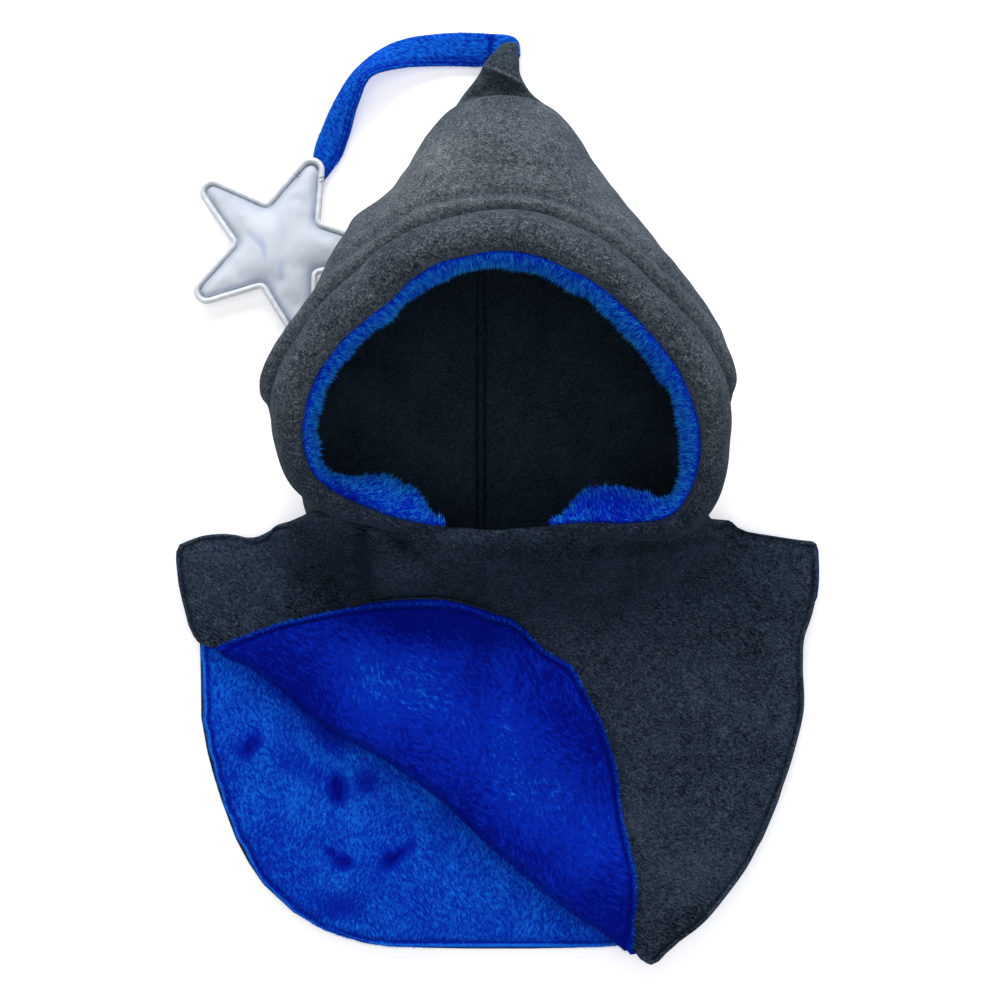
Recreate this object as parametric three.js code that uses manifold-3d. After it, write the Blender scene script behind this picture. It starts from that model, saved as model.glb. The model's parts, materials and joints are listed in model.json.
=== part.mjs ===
// A child's pixie hood of charcoal fleece with a yoke, lying on its back with the face opening up.
// Millimetres. +X is the wearer's left, +Y runs from the hem towards the pointed tip, +Z up from the surface
// that the hood lies on. The origin is on that surface, under the middle of the neck.
import * as THREE from "three";
import { mergeVertices } from "three/addons/utils/BufferGeometryUtils.js";
import Module from "manifold-3d";

const wasm = await Module();
wasm.setup();

// Cloth
const fleece = 2; // one layer of the charcoal fleece of the yoke
const plush = 3; // backing and pile of the blue lining
const hoodWall = 3; // the hood is two layers of fleece
const bandWall = 2.5;
const gap = 0.3; // between pieces that touch
const lyingFront = fleece + gap + plush + gap; // the front yoke's lining lies on the back yoke's

// Yoke, in plan
const yoke = {
  neckHalf: 97, // half the width of the neck seam
  neckY: -12.5, // where the hood is sewn on
  shoulderHalf: 157.5,
  shoulderY: -20.5,
  flareY: -44, // the shoulder's straight edge ends here
  sideHalf: 150.5,
  sideY: -68,
  hemY: -105, // the rounded hem begins here
  backBottom: -224,
  backRoundness: 2.3,
  frontBottom: -265,
  frontRoundness: 1.7,
  hemSteps: 22, // to each half
};

// The front yoke's lower corner is turned up over this line, which runs down to the lower right.
const fold = {
  x: -137,
  y: -68.6,
  alongX: 0.807,
  alongY: -0.59,
  middle: 128, // along the fold, from (x, y)
  half: 138,
  endRadius: 6.6, // outside radius of the turn at its two ends
  middleRadius: 9.5,
};

// The turned-up hem: distances along the fold where it lies this far out from the fold.
const flapHem = [
  { out: 0, from: 1, to: 254 },
  { out: 10, from: 9, to: 246 },
  { out: 20, from: 17, to: 239 },
  { out: 30, from: 25, to: 230 },
  { out: 40, from: 33, to: 218 },
  { out: 50, from: 42, to: 207 },
  { out: 60, from: 53, to: 198 },
  { out: 70, from: 65, to: 186 },
  { out: 80, from: 79, to: 170 },
  { out: 87, from: 97, to: 155 },
  { out: 90.5, from: 110, to: 146 },
];
const frontRows = { lying: 20, turn: 5, flap: 6, columns: 16 };

// How the front yoke climbs to the chin over the flattened neck
const chin = {
  height: 51.5, // of the lining's underside at the middle of the chin
  half: 114, // half the width of the rise
  fullness: 0.9, // lower is fuller at the sides
  fall: 62, // from the neck seam down to where the front lies flat, at the middle
  sideFall: 38,
  dip: 2, // how far the chin's edge sags below that
  dipHalf: 60,
  swell: 3, // the front's middle stands off the back by this much
};

// The hood's sections across Y: its outline to each side, the height of its widest point, its top, its
// underside, and how far its sides lag behind its top.
const hoodSections = [
  { y: -11.6, left: -95, right: 97, widest: 13, top: 57, bottom: 0, bow: 0 },
  { y: 12, left: -99, right: 101, widest: 38, top: 74, bottom: 0, bow: 0 },
  { y: 38, left: -108, right: 107, widest: 72, top: 93, bottom: 0, bow: 0 },
  { y: 55, left: -111, right: 109, widest: 75, top: 100, bottom: 0, bow: 0 },
  { y: 68, left: -108, right: 107, widest: 73, top: 103, bottom: 0, bow: 0 },
  { y: 84, left: -99, right: 101, widest: 69, top: 104, bottom: 0, bow: 0 },
  { y: 102, left: -87, right: 89, widest: 63, top: 103, bottom: 0, bow: 0 },
  { y: 120, left: -77.5, right: 76.5, widest: 56, top: 99, bottom: 0, bow: 0 },
  { y: 135, left: -68.5, right: 66, widest: 49, top: 91, bottom: 0, bow: 1 },
  { y: 150, left: -54.5, right: 56, widest: 43, top: 84, bottom: 0, bow: 3 },
  { y: 166, left: -44, right: 45, widest: 35, top: 76, bottom: 0, bow: 4 },
  { y: 182, left: -33, right: 34, widest: 27, top: 63, bottom: 1, bow: 5 },
  { y: 191, left: -24, right: 28, widest: 21, top: 50, bottom: 3, bow: 5 },
  { y: 196, left: -19, right: 19.5, widest: 19, top: 33, bottom: 5, bow: 4 },
  { y: 207, left: -12.5, right: 12, widest: 17, top: 29, bottom: 5, bow: 1 },
  { y: 217, left: -6.5, right: 9.5, widest: 14, top: 25, bottom: 4.7, bow: 0 },
  { y: 225, left: 0, right: 8.5, widest: 12, top: 19, bottom: 4.7, bow: 0 },
];
const hoodShape = {
  upper: 2.2, // roundness of a section's upper half, 2 for an ellipse
  lower: 2.4,
  sink: 9, // the underside is pressed flat where it would reach this far through the surface
  tipY: 229,
  around: 24,
  cavityEnd: 218, // the hollow's end in the tip
};

// The edge of the face opening, from the chin round the wearer's right, the forehead and the left: the edge's
// place, the width of the fleece band outside it, how far the band drops to its seam, the width of plush that
// shows inside it, and how deep the plush reaches.
const faceEdge = [
  { at: 0, x: -26, y: -12.4, z: 58, band: 2.4, drop: 3, facing: 2, depth: 6 },
  { at: 4, x: -44.4, y: -9.6, z: 59, band: 6, drop: 8, facing: 13, depth: 15 },
  { at: 8, x: -60, y: -4.4, z: 61, band: 9, drop: 15, facing: 16, depth: 18 },
  { at: 12, x: -75, y: 1.6, z: 66, band: 11, drop: 18, facing: 13, depth: 19 },
  { at: 16, x: -86, y: 10.5, z: 74, band: 12, drop: 21, facing: 9.5, depth: 20 },
  { at: 21, x: -91, y: 27, z: 86, band: 15, drop: 23, facing: 8.5, depth: 21 },
  { at: 27, x: -87.5, y: 48, z: 97, band: 19, drop: 22, facing: 9, depth: 22 },
  { at: 33, x: -74, y: 69.8, z: 104, band: 19.5, drop: 20, facing: 9, depth: 22 },
  { at: 39, x: -55, y: 86.4, z: 107, band: 22, drop: 20, facing: 9, depth: 22 },
  { at: 45, x: -31, y: 105, z: 110, band: 21, drop: 20, facing: 9, depth: 22 },
  { at: 51, x: 1, y: 112, z: 112, band: 20.5, drop: 20, facing: 9, depth: 22 },
  { at: 57, x: 32, y: 104.4, z: 111, band: 20.5, drop: 20, facing: 10.5, depth: 22 },
  { at: 63, x: 56, y: 87.5, z: 109, band: 18.5, drop: 20, facing: 11, depth: 22 },
  { at: 69, x: 76, y: 66.4, z: 105, band: 20, drop: 20, facing: 11.5, depth: 22 },
  { at: 75, x: 89, y: 44, z: 97, band: 18, drop: 22, facing: 11, depth: 22 },
  { at: 80, x: 92.4, y: 23, z: 86, band: 16, drop: 23, facing: 11, depth: 21 },
  { at: 84, x: 90, y: 6, z: 75, band: 14.5, drop: 21, facing: 9.5, depth: 20 },
  { at: 88, x: 80.5, y: -7, z: 67, band: 12, drop: 18, facing: 12, depth: 19 },
  { at: 92, x: 63, y: -10.6, z: 61.5, band: 9, drop: 15, facing: 16, depth: 18 },
  { at: 96, x: 43, y: -10.6, z: 59, band: 6.5, drop: 8, facing: 15, depth: 15 },
  { at: 100, x: 23.5, y: -12, z: 58, band: 2.4, drop: 3, facing: 2, depth: 6 },
];
const faceStations = 44;
const band = { crest: 3, crestAt: 0.7, tuck: 4, steps: 6 };
const facing = { tuck: 0.6, steps: 4 };

// The hood's own opening is cut straight down, under the band's middle, with room for the band's roll.
const faceCut = { under: 0.5, bottom: 42, top: 140, neckY: -30, room: 9 };

// The plush strap from the tip to the star: its middle line, the height of its underside, and its roll about
// that line, in degrees, where it stands half on edge.
const strapPath = [
  { x: 9.5, y: 221.5, z: 0, roll: 0 },
  { x: -8, y: 224.5, z: 0, roll: 0 },
  { x: -29, y: 224.5, z: 0, roll: 4 },
  { x: -50, y: 221.5, z: 0.5, roll: 22 },
  { x: -67, y: 212.5, z: 2, roll: 54 },
  { x: -76, y: 198, z: 1.5, roll: 30 },
  { x: -81, y: 183, z: 0.4, roll: 8 },
  { x: -86, y: 168, z: 0, roll: 0 },
  { x: -88.8, y: 160.6, z: 0, roll: 0 },
];
const strap = { width: 16.5, thick: 4, sides: 8, steps: 26 };

const star = {
  x: -110,
  y: 125,
  turn: 69, // degrees, of the point that the strap is sewn to
  points: 5,
  outer: 56.5, // to the sharp points, before they are rounded
  inner: 22.4,
  pointRadius: 4.5,
  notchRadius: 1.2,
  rimWidth: 2.6,
  rimBase: 4.3, // the points lie on the strap's end
  rimTop: 7.3,
  padBase: 4.5,
  padTop: 10.5,
};

const { PI, abs, cos, sin, min, max, sign, sqrt, hypot } = Math;
const clamp = (value, low, high) => min(max(value, low), high);
const mix = (a, b, t) => a + (b - a) * t;
const smooth = (t) => t * t * (3 - 2 * t);
const smoothBetween = (low, high, value) => smooth(clamp((value - low) / (high - low), 0, 1));
const radians = THREE.MathUtils.degToRad;

// Every column of a table whose rows are sorted by the column named key, at a value between two rows.
function rowAt(table, key, value) {
  const last = table.length - 1;
  const after = table.findIndex((row) => row[key] > value);
  const i = clamp((after < 0 ? table.length : after) - 1, 0, last - 1);
  const [a, b, c, d] = [i - 1, i, i + 1, i + 2].map((k) => table[clamp(k, 0, last)]);
  const span = c[key] - b[key];
  const t = clamp((value - b[key]) / span, 0, 1);
  const row = {};
  for (const name of Object.keys(b)) {
    const slopeIn = ((c[name] - a[name]) / (c[key] - a[key])) * span;
    const slopeOut = ((d[name] - b[name]) / (d[key] - b[key])) * span;
    row[name] =
      (2 * t ** 3 - 3 * t ** 2 + 1) * b[name] +
      (t ** 3 - 2 * t ** 2 + t) * slopeIn +
      (3 * t ** 2 - 2 * t ** 3) * c[name] +
      (t ** 3 - t ** 2) * slopeOut;
  }
  row[key] = value;
  return row;
}

// Mesh helpers: a surface is a list of points and a list of triangles, with equal points merged.
function surfaceFromGrid(grid, closed = false) {
  const points = [];
  const found = new Map();
  const index = grid.map((row) =>
    row.map((p) => {
      const key = [p.x, p.y, p.z].map((v) => Math.round(v * 1000)).join();
      if (!found.has(key)) {
        found.set(key, points.length);
        points.push(p);
      }
      return found.get(key);
    }),
  );
  const triangles = [];
  const add = (a, b, c) => {
    if (a !== b && b !== c && c !== a) triangles.push([a, b, c]);
  };
  const columns = grid[0].length;
  for (let i = 0; i < grid.length - 1; i++)
    for (let j = 0; j < columns - (closed ? 0 : 1); j++) {
      const k = (j + 1) % columns;
      add(index[i][j], index[i][k], index[i + 1][k]);
      add(index[i][j], index[i + 1][k], index[i + 1][j]);
    }
  return { points, triangles };
}

function pointNormals({ points, triangles }) {
  const normals = points.map(() => new THREE.Vector3());
  for (const [a, b, c] of triangles) {
    const ab = points[b].clone().sub(points[a]);
    const ac = points[c].clone().sub(points[a]);
    const n = ab.cross(ac);
    for (const i of [a, b, c]) normals[i].add(n);
  }
  return normals.map((n) => n.normalize());
}

function geometryOf(points, triangles) {
  const geometry = new THREE.BufferGeometry();
  const flat = points.flatMap((p) => [p.x, p.y, p.z]);
  geometry.setAttribute("position", new THREE.Float32BufferAttribute(flat, 3));
  geometry.setIndex(triangles.flat());
  return geometry;
}

// A closed wall between two offsets from a surface along its normals.
function wall(surface, from, to) {
  const normals = pointNormals(surface);
  const count = surface.points.length;
  const lift = (distance) => surface.points.map((p, i) => p.clone().addScaledVector(normals[i], distance));
  const points = [...lift(to), ...lift(from)];
  const triangles = [];
  const edges = new Set();
  for (const [a, b, c] of surface.triangles) {
    triangles.push([a, b, c], [a + count, c + count, b + count]);
    for (const [p, q] of [
      [a, b],
      [b, c],
      [c, a],
    ])
      edges.add(p + "," + q);
  }
  for (const edge of edges) {
    const [p, q] = edge.split(",").map(Number);
    if (edges.has(q + "," + p)) continue;
    triangles.push([p, p + count, q + count], [p, q + count, q]);
  }
  return geometryOf(points, triangles);
}

// A closed solid through rings of points, with a flat fan over each end.
function loft(rings) {
  const centre = (ring) => ring.reduce((sum, p) => sum.add(p), new THREE.Vector3()).divideScalar(ring.length);
  const pole = (ring) => ring.map(() => centre(ring));
  const grid = [pole(rings[0]), ...rings, pole(rings.at(-1))];
  const { points, triangles } = surfaceFromGrid(grid, true);
  return geometryOf(points, triangles);
}

function solidOf(geometry) {
  const bare = geometry.clone();
  for (const name of Object.keys(bare.attributes)) if (name !== "position") bare.deleteAttribute(name);
  const merged = mergeVertices(bare, 1e-4);
  const mesh = new wasm.Mesh({
    numProp: 3,
    vertProperties: merged.attributes.position.array,
    triVerts: new Uint32Array(merged.index.array),
  });
  const solid = new wasm.Manifold(mesh);
  if (solid.volume() >= 0) return solid;
  const turned = merged.clone();
  const index = turned.index.array;
  for (let i = 0; i < index.length; i += 3) [index[i + 1], index[i + 2]] = [index[i + 2], index[i + 1]];
  return solidOf(turned);
}

function geometryFrom(solid) {
  const mesh = solid.getMesh();
  const geometry = new THREE.BufferGeometry();
  geometry.setAttribute("position", new THREE.BufferAttribute(mesh.vertProperties, 3));
  geometry.setIndex(new THREE.BufferAttribute(mesh.triVerts, 1));
  return geometry;
}

const facingOut = (geometry) => geometryFrom(solidOf(geometry));

// Hood
function hoodPoint(y, angle, inset) {
  const s = rowAt(hoodSections, "y", y);
  const upper = sin(angle) >= 0;
  const power = 2 / (upper ? hoodShape.upper : hoodShape.lower);
  const across = sign(cos(angle)) * abs(cos(angle)) ** power;
  const up = sign(sin(angle)) * abs(sin(angle)) ** power;
  const reach = upper ? s.top - inset - s.widest : s.widest - s.bottom + hoodShape.sink;
  const half = (s.right - s.left) / 2 - inset;
  return new THREE.Vector3(
    (s.left + s.right) / 2 + half * across,
    y - s.bow * across * across,
    max(s.widest + reach * up, max(s.bottom, 0) + inset),
  );
}

function hoodBody(stops, inset, endY) {
  const angles = Array.from({ length: hoodShape.around }, (_, i) => (2 * PI * i) / hoodShape.around);
  const rings = stops.map((y) => angles.map((angle) => hoodPoint(y, angle, inset)));
  const end = rings.at(-1).reduce((sum, p) => sum.add(p), new THREE.Vector3()).divideScalar(angles.length);
  rings.push(angles.map(() => new THREE.Vector3(end.x, endY, end.z)));
  return solidOf(loft(rings));
}

// Face opening
function faceFrame(share) {
  const at = 100 * share;
  const row = rowAt(faceEdge, "at", at);
  const look = 3; // percent of the way round, over which the edge's direction is taken
  const a = rowAt(faceEdge, "at", max(at - look, 0));
  const b = rowAt(faceEdge, "at", min(at + look, 100));
  const length = hypot(b.x - a.x, b.y - a.y);
  const out = { x: -(b.y - a.y) / length, y: (b.x - a.x) / length };
  const place = (inward, height) =>
    new THREE.Vector3(row.x - out.x * inward, row.y - out.y * inward, row.z + height);
  return { row, place };
}

// The band's surface in section, from its seam over the crest to the edge, shifted inwards by inset.
function bandSection({ row, place }, inset) {
  const crestAt = row.band * band.crestAt;
  const crest = min(band.crest, row.band / 4);
  const tuck = min(band.tuck, row.drop);
  const points = [];
  for (let i = 0; i <= band.steps; i++) {
    const turn = PI * (1 - i / band.steps);
    const outer = cos(turn) < 0;
    const reach = outer ? crestAt : row.band - crestAt;
    const w = crestAt + (reach - inset) * cos(turn);
    const fall = outer ? crest + row.drop : crest + tuck;
    const height = crest - inset - (fall - inset + max(-inset, 0)) * (1 - sin(turn));
    points.push(place(w - row.band, height));
  }
  return points;
}

function sweepBand(thickness, grow) {
  const rings = [];
  for (let i = 0; i <= faceStations; i++) {
    const frame = faceFrame(i / faceStations);
    const thin = min(thickness, 0.4 * frame.row.band);
    rings.push([...bandSection(frame, -grow), ...bandSection(frame, thin).reverse()]);
  }
  return solidOf(loft(rings));
}

// The plush facing, from under the band's edge inwards and down.
function facingSurface(from, to) {
  const rings = [];
  for (let i = 0; i <= faceStations; i++) {
    const frame = faceFrame(i / faceStations);
    const { row } = frame;
    const tuck = min(band.tuck, row.drop) + facing.tuck;
    const thin = min(1, row.facing / (2 * plush));
    const line = (offset) =>
      Array.from({ length: facing.steps + 1 }, (_, k) => {
        const turn = (PI / 2) * (k / facing.steps);
        const width = row.facing - offset * thin;
        const depth = row.depth - tuck;
        return frame.place(width * sin(turn), -tuck - offset * thin * 0.5 - depth * (1 - cos(turn)));
      });
    rings.push([...line(from), ...line(to).reverse()]);
  }
  return solidOf(loft(rings));
}

// Yoke
function yokeOutline(bottom, roundness) {
  const half = [
    [yoke.neckHalf, yoke.neckY],
    [yoke.shoulderHalf, yoke.shoulderY],
    [yoke.shoulderHalf, yoke.flareY],
  ];
  for (const t of [0.25, 0.5, 0.75, 1])
    half.push([mix(yoke.shoulderHalf, yoke.sideHalf, smooth(t)), mix(yoke.flareY, yoke.sideY, t)]);
  for (let i = 0; i <= yoke.hemSteps; i++) {
    const angle = (PI / 2) * (i / yoke.hemSteps);
    const across = cos(angle) ** (2 / roundness);
    const down = sin(angle) ** (2 / roundness);
    half.push([yoke.sideHalf * across, yoke.hemY + (bottom - yoke.hemY) * down]);
  }
  const right = half.map(([x, y]) => new THREE.Vector2(x, y));
  const left = half.slice(0, -1).map(([x, y]) => new THREE.Vector2(-x, y));
  return [...right, ...left.reverse()];
}

const backOutline = yokeOutline(yoke.backBottom, yoke.backRoundness);
const frontOutline = yokeOutline(yoke.frontBottom, yoke.frontRoundness);

function flatLayer(outline, base, depth) {
  const geometry = new THREE.ExtrudeGeometry(new THREE.Shape(outline), { depth, bevelEnabled: false });
  return geometry.translate(0, 0, base);
}

// The top line of the front yoke: along the neck seam with a dip at the chin, then down the shoulder.
function frontTop(x) {
  const beyond = max(abs(x) - yoke.neckHalf, 0) / (yoke.shoulderHalf - yoke.neckHalf);
  const dip = chin.dip * (1 - smoothBetween(0, chin.dipHalf, abs(x)));
  return mix(yoke.neckY, yoke.shoulderY, beyond) - dip;
}

// Height of the underside of the front lining where it lies.
function frontHeight(x, y) {
  const side = clamp(abs(x) / chin.half, 0, 1);
  const rise = (chin.height - lyingFront) * cos((PI / 2) * side) ** chin.fullness;
  const fall = mix(chin.fall, chin.sideFall, smooth(side));
  const down = smoothBetween(0, fall, max(frontTop(x) - y, 0));
  const flat = smoothBetween(yoke.hemY * 2.2, yoke.hemY, y) * (1 - abs(x) / yoke.shoulderHalf);
  return lyingFront + rise * (1 - down) + chin.swell * max(flat, 0) * down;
}

// How much farther apart two layers are, straight up, than across the slope.
function frontSteepness(x, y) {
  const step = 4;
  const alongX = (frontHeight(x + step, y) - frontHeight(x - step, y)) / (2 * step);
  const alongY = (frontHeight(x, y + step) - frontHeight(x, y - step)) / (2 * step);
  return sqrt(1 + alongX ** 2 + alongY ** 2);
}

const foldX = (t, e) => fold.x + fold.alongX * t - fold.alongY * e;
const foldY = (t, e) => fold.y + fold.alongY * t + fold.alongX * e;

// Where a line at a distance e from the fold crosses the front yoke's outline, as distances along the fold.
function frontExtent(e) {
  const hits = [];
  const place = (p) => ({
    t: (p.x - fold.x) * fold.alongX + (p.y - fold.y) * fold.alongY,
    e: -(p.x - fold.x) * fold.alongY + (p.y - fold.y) * fold.alongX,
  });
  const top = [];
  for (let i = -8; i <= 8; i++) {
    const x = (yoke.neckHalf * i) / 8;
    top.push(new THREE.Vector2(x, frontTop(x)));
  }
  const ring = [...frontOutline, ...top].map(place);
  ring.forEach((a, i) => {
    const b = ring[(i + 1) % ring.length];
    if (a.e > e === b.e > e) return;
    hits.push(mix(a.t, b.t, (e - a.e) / (b.e - a.e)));
  });
  return { e, low: min(...hits), high: max(...hits) };
}

const farthest = max(
  ...frontOutline.map((p) => -(p.x - fold.x) * fold.alongY + (p.y - fold.y) * fold.alongX),
);

function turnRadius(t) {
  const out = clamp(abs(t - fold.middle) / fold.half, 0, 1);
  return mix(fold.middleRadius, fold.endRadius, smooth(out));
}

// The underside of the front lining as it lies, turns at the fold, and comes back over itself as the flap.
function frontSurface() {
  const rows = [];
  // From high to low, so that the surface's normals point up where it lies
  const across = (low, high) =>
    Array.from({ length: frontRows.columns + 1 }, (_, k) => mix(high, low, k / frontRows.columns));
  for (let i = 0; i <= frontRows.lying; i++) {
    const e = farthest * (1 - i / frontRows.lying);
    const { low, high } = i ? frontExtent(e) : frontExtent(farthest - 0.01);
    rows.push(
      across(low, high).map((t) => {
        const [x, y] = [foldX(t, e), foldY(t, e)];
        return new THREE.Vector3(x, y, frontHeight(x, y));
      }),
    );
  }
  const start = frontExtent(0);
  const end = flapHem.at(-1).out;
  const restOnFront = 2 * (plush + gap + fleece) + 5 * gap;
  for (let i = 1; i <= frontRows.turn; i++) {
    const angle = (PI * i) / frontRows.turn;
    const low = mix(start.low, flapHem[0].from, i / frontRows.turn);
    const high = mix(start.high, flapHem[0].to, i / frontRows.turn);
    rows.push(
      across(low, high).map((t) => {
        const r = turnRadius(t);
        const [x, y] = [foldX(t, -r * sin(angle)), foldY(t, -r * sin(angle))];
        return new THREE.Vector3(x, y, frontHeight(foldX(t, 0), foldY(t, 0)) + r * (1 - cos(angle)));
      }),
    );
  }
  for (let i = 1; i <= frontRows.flap; i++) {
    const distance = end * (1 - (1 - i / frontRows.flap) ** 1.4);
    const { from, to } = rowAt(flapHem, "out", distance);
    rows.push(
      across(from, to).map((t) => {
        const [x, y] = [foldX(t, distance), foldY(t, distance)];
        const rest = restOnFront * frontSteepness(x, y);
        const over = mix(max(2 * turnRadius(t), rest), rest, smoothBetween(0, 0.8 * end, distance));
        return new THREE.Vector3(x, y, frontHeight(x, y) + over);
      }),
    );
  }
  return surfaceFromGrid(rows);
}

// Strap
function strapSolid() {
  const table = strapPath.map((row, i) => ({ at: i, ...row }));
  const rings = [];
  for (let i = 0; i <= strap.steps; i++) {
    const at = (table.length - 1) * (i / strap.steps);
    const row = rowAt(table, "at", at);
    const ahead = rowAt(table, "at", min(at + 0.1, table.length - 1));
    const behind = rowAt(table, "at", max(at - 0.1, 0));
    const along = new THREE.Vector2(ahead.x - behind.x, ahead.y - behind.y).normalize();
    const roll = radians(row.roll);
    const half = strap.width / 2;
    const thick = strap.thick / 2;
    // The ring's lowest point stays at the height of the row, however it is rolled.
    const middle = row.z + half * abs(sin(roll)) + thick * cos(roll);
    rings.push(
      Array.from({ length: strap.sides }, (_, k) => {
        const angle = (2 * PI * k) / strap.sides;
        const u = half * sign(cos(angle)) * abs(cos(angle)) ** 0.6;
        const v = thick * sign(sin(angle)) * abs(sin(angle)) ** 0.6;
        const side = u * cos(roll) - v * sin(roll);
        const up = u * sin(roll) + v * cos(roll);
        return new THREE.Vector3(row.x - along.y * side, row.y + along.x * side, middle + up);
      }),
    );
  }
  return solidOf(loft(rings));
}

// Star
function starOutline(inset) {
  const corners = [];
  const slant = PI / star.points;
  const edgeAngle = Math.atan2(star.inner * sin(slant), star.outer - star.inner * cos(slant));
  const tipInset = inset / sin(edgeAngle);
  const notchInset = inset / sin(edgeAngle + slant);
  for (let i = 0; i < 2 * star.points; i++) {
    const tip = i % 2 === 0;
    const angle = radians(star.turn) + slant * i;
    const radius = tip ? star.outer - tipInset : star.inner - notchInset;
    corners.push({ p: new THREE.Vector2(radius * cos(angle), radius * sin(angle)), tip });
  }
  const outline = [];
  corners.forEach(({ p, tip }, i) => {
    const before = corners.at(i - 1).p.clone().sub(p).normalize();
    const after = corners[(i + 1) % corners.length].p.clone().sub(p).normalize();
    const half = before.angleTo(after) / 2;
    const radius = max(tip ? star.pointRadius - inset : star.notchRadius + inset, 0.4);
    const steps = tip ? 5 : 2;
    const middle = before.clone().add(after).normalize();
    const centre = p.clone().addScaledVector(middle, radius / sin(half));
    const sweep = (tip ? 1 : -1) * (PI - 2 * half);
    const away = middle.clone().negate();
    for (let k = 0; k <= steps; k++) {
      const angle = sweep * (k / steps - 0.5);
      const spoke = away.clone().rotateAround(new THREE.Vector2(), angle).multiplyScalar(radius);
      outline.push(centre.clone().add(spoke));
    }
  });
  return outline.map((p) => p.add(new THREE.Vector2(star.x, star.y)));
}

function starRing(outline, z) {
  return outline.map((p) => new THREE.Vector3(p.x, p.y, z));
}

function starRim() {
  const outer = starOutline(0);
  const inner = starOutline(star.rimWidth);
  const mid = starOutline(star.rimWidth / 2);
  const grid = [
    starRing(outer, star.rimBase + 0.6),
    starRing(outer, star.rimTop - 1),
    starRing(mid, star.rimTop),
    starRing(inner, star.rimTop - 1),
    starRing(inner, star.rimBase + 0.6),
    starRing(mid, star.rimBase),
  ];
  const { points, triangles } = surfaceFromGrid([...grid, grid[0]], true);
  return solidOf(geometryOf(points, triangles));
}

function starPad() {
  const inset = star.rimWidth + gap;
  const rings = [
    [inset + 5.5, 0],
    [inset + 3, 2],
    [inset, star.padBase + 1],
    [inset + 0.6, star.rimTop - 1.4],
    [inset + 2.6, star.rimTop + 0.8],
    [inset + 5.5, star.padTop],
  ].map(([in_, z]) => starRing(starOutline(in_), z));
  return solidOf(loft(rings));
}

// Assembly
const charcoal = new THREE.MeshStandardMaterial({ color: 0x3a4048, roughness: 0.95, metalness: 0 });
const blue = new THREE.MeshStandardMaterial({ color: 0x0b3fae, roughness: 0.85, metalness: 0 });
const silver = new THREE.MeshStandardMaterial({ color: 0xcfd9e4, roughness: 0.4, metalness: 0.1 });
const white = new THREE.MeshStandardMaterial({ color: 0xeef2f6, roughness: 0.5, metalness: 0 });

const hood = new THREE.Group();

function addPiece(name, geometry, material) {
  const mesh = new THREE.Mesh(geometry, material);
  mesh.name = name;
  hood.add(mesh);
}

// The space over the face that the hood leaves open: straight up from inside the band's middle line.
function faceCutter() {
  const outline = [];
  for (let i = 0; i <= faceStations; i++) {
    const { row, place } = faceFrame(i / faceStations);
    const p = place(-faceCut.under * row.band, 0);
    outline.push(new THREE.Vector2(p.x, p.y));
  }
  const first = outline[0];
  const last = outline.at(-1);
  outline.push(new THREE.Vector2(last.x, faceCut.neckY), new THREE.Vector2(first.x, faceCut.neckY));
  const depth = faceCut.top - faceCut.bottom;
  const geometry = new THREE.ExtrudeGeometry(new THREE.Shape(outline), { depth, bevelEnabled: false });
  return solidOf(geometry.translate(0, 0, faceCut.bottom));
}

function largest(solid) {
  return solid.decompose().sort((a, b) => b.volume() - a.volume())[0];
}

function makeHood() {
  const stops = hoodSections.map((row) => row.y);
  const between = stops.slice(1).map((y, i) => (y + stops[i]) / 2);
  const outerStops = [...stops, ...between.slice(0, 13)].sort((a, b) => a - b);
  const innerStops = [-40, ...outerStops.filter((y) => y < hoodShape.cavityEnd - 4)];
  const outer = hoodBody(outerStops, 0, hoodShape.tipY);
  const inner = hoodBody(innerStops, hoodWall, hoodShape.cavityEnd);
  const whole = outer.subtract(inner).subtract(faceCutter());
  const clear = sweepBand(faceCut.room, 0.6);
  return largest(whole.subtract(clear).subtract(facingSurface(-0.35, plush + 0.35)));
}

const bandSolid = sweepBand(bandWall, 0);
addPiece("hood_shell", geometryFrom(makeHood()), charcoal);
addPiece("face_band", geometryFrom(bandSolid), charcoal);
addPiece("face_lining", geometryFrom(facingSurface(0, plush)), blue);
const front = frontSurface();
addPiece("front_panel", facingOut(wall(front, plush + gap, plush + gap + fleece)), charcoal);
addPiece("front_lining", facingOut(wall(front, 0, plush)), blue);
addPiece("back_panel", facingOut(flatLayer(backOutline, 0, fleece)), charcoal);
addPiece("back_lining", facingOut(flatLayer(backOutline, fleece + gap, plush)), blue);
addPiece("strap", geometryFrom(strapSolid()), blue);
addPiece("star_rim", geometryFrom(starRim()), white);
addPiece("star_pad", geometryFrom(starPad()), silver);

export default hood;
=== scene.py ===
import json
import math

import bmesh
import bpy
import numpy as np
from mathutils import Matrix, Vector
from mathutils.kdtree import KDTree

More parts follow.
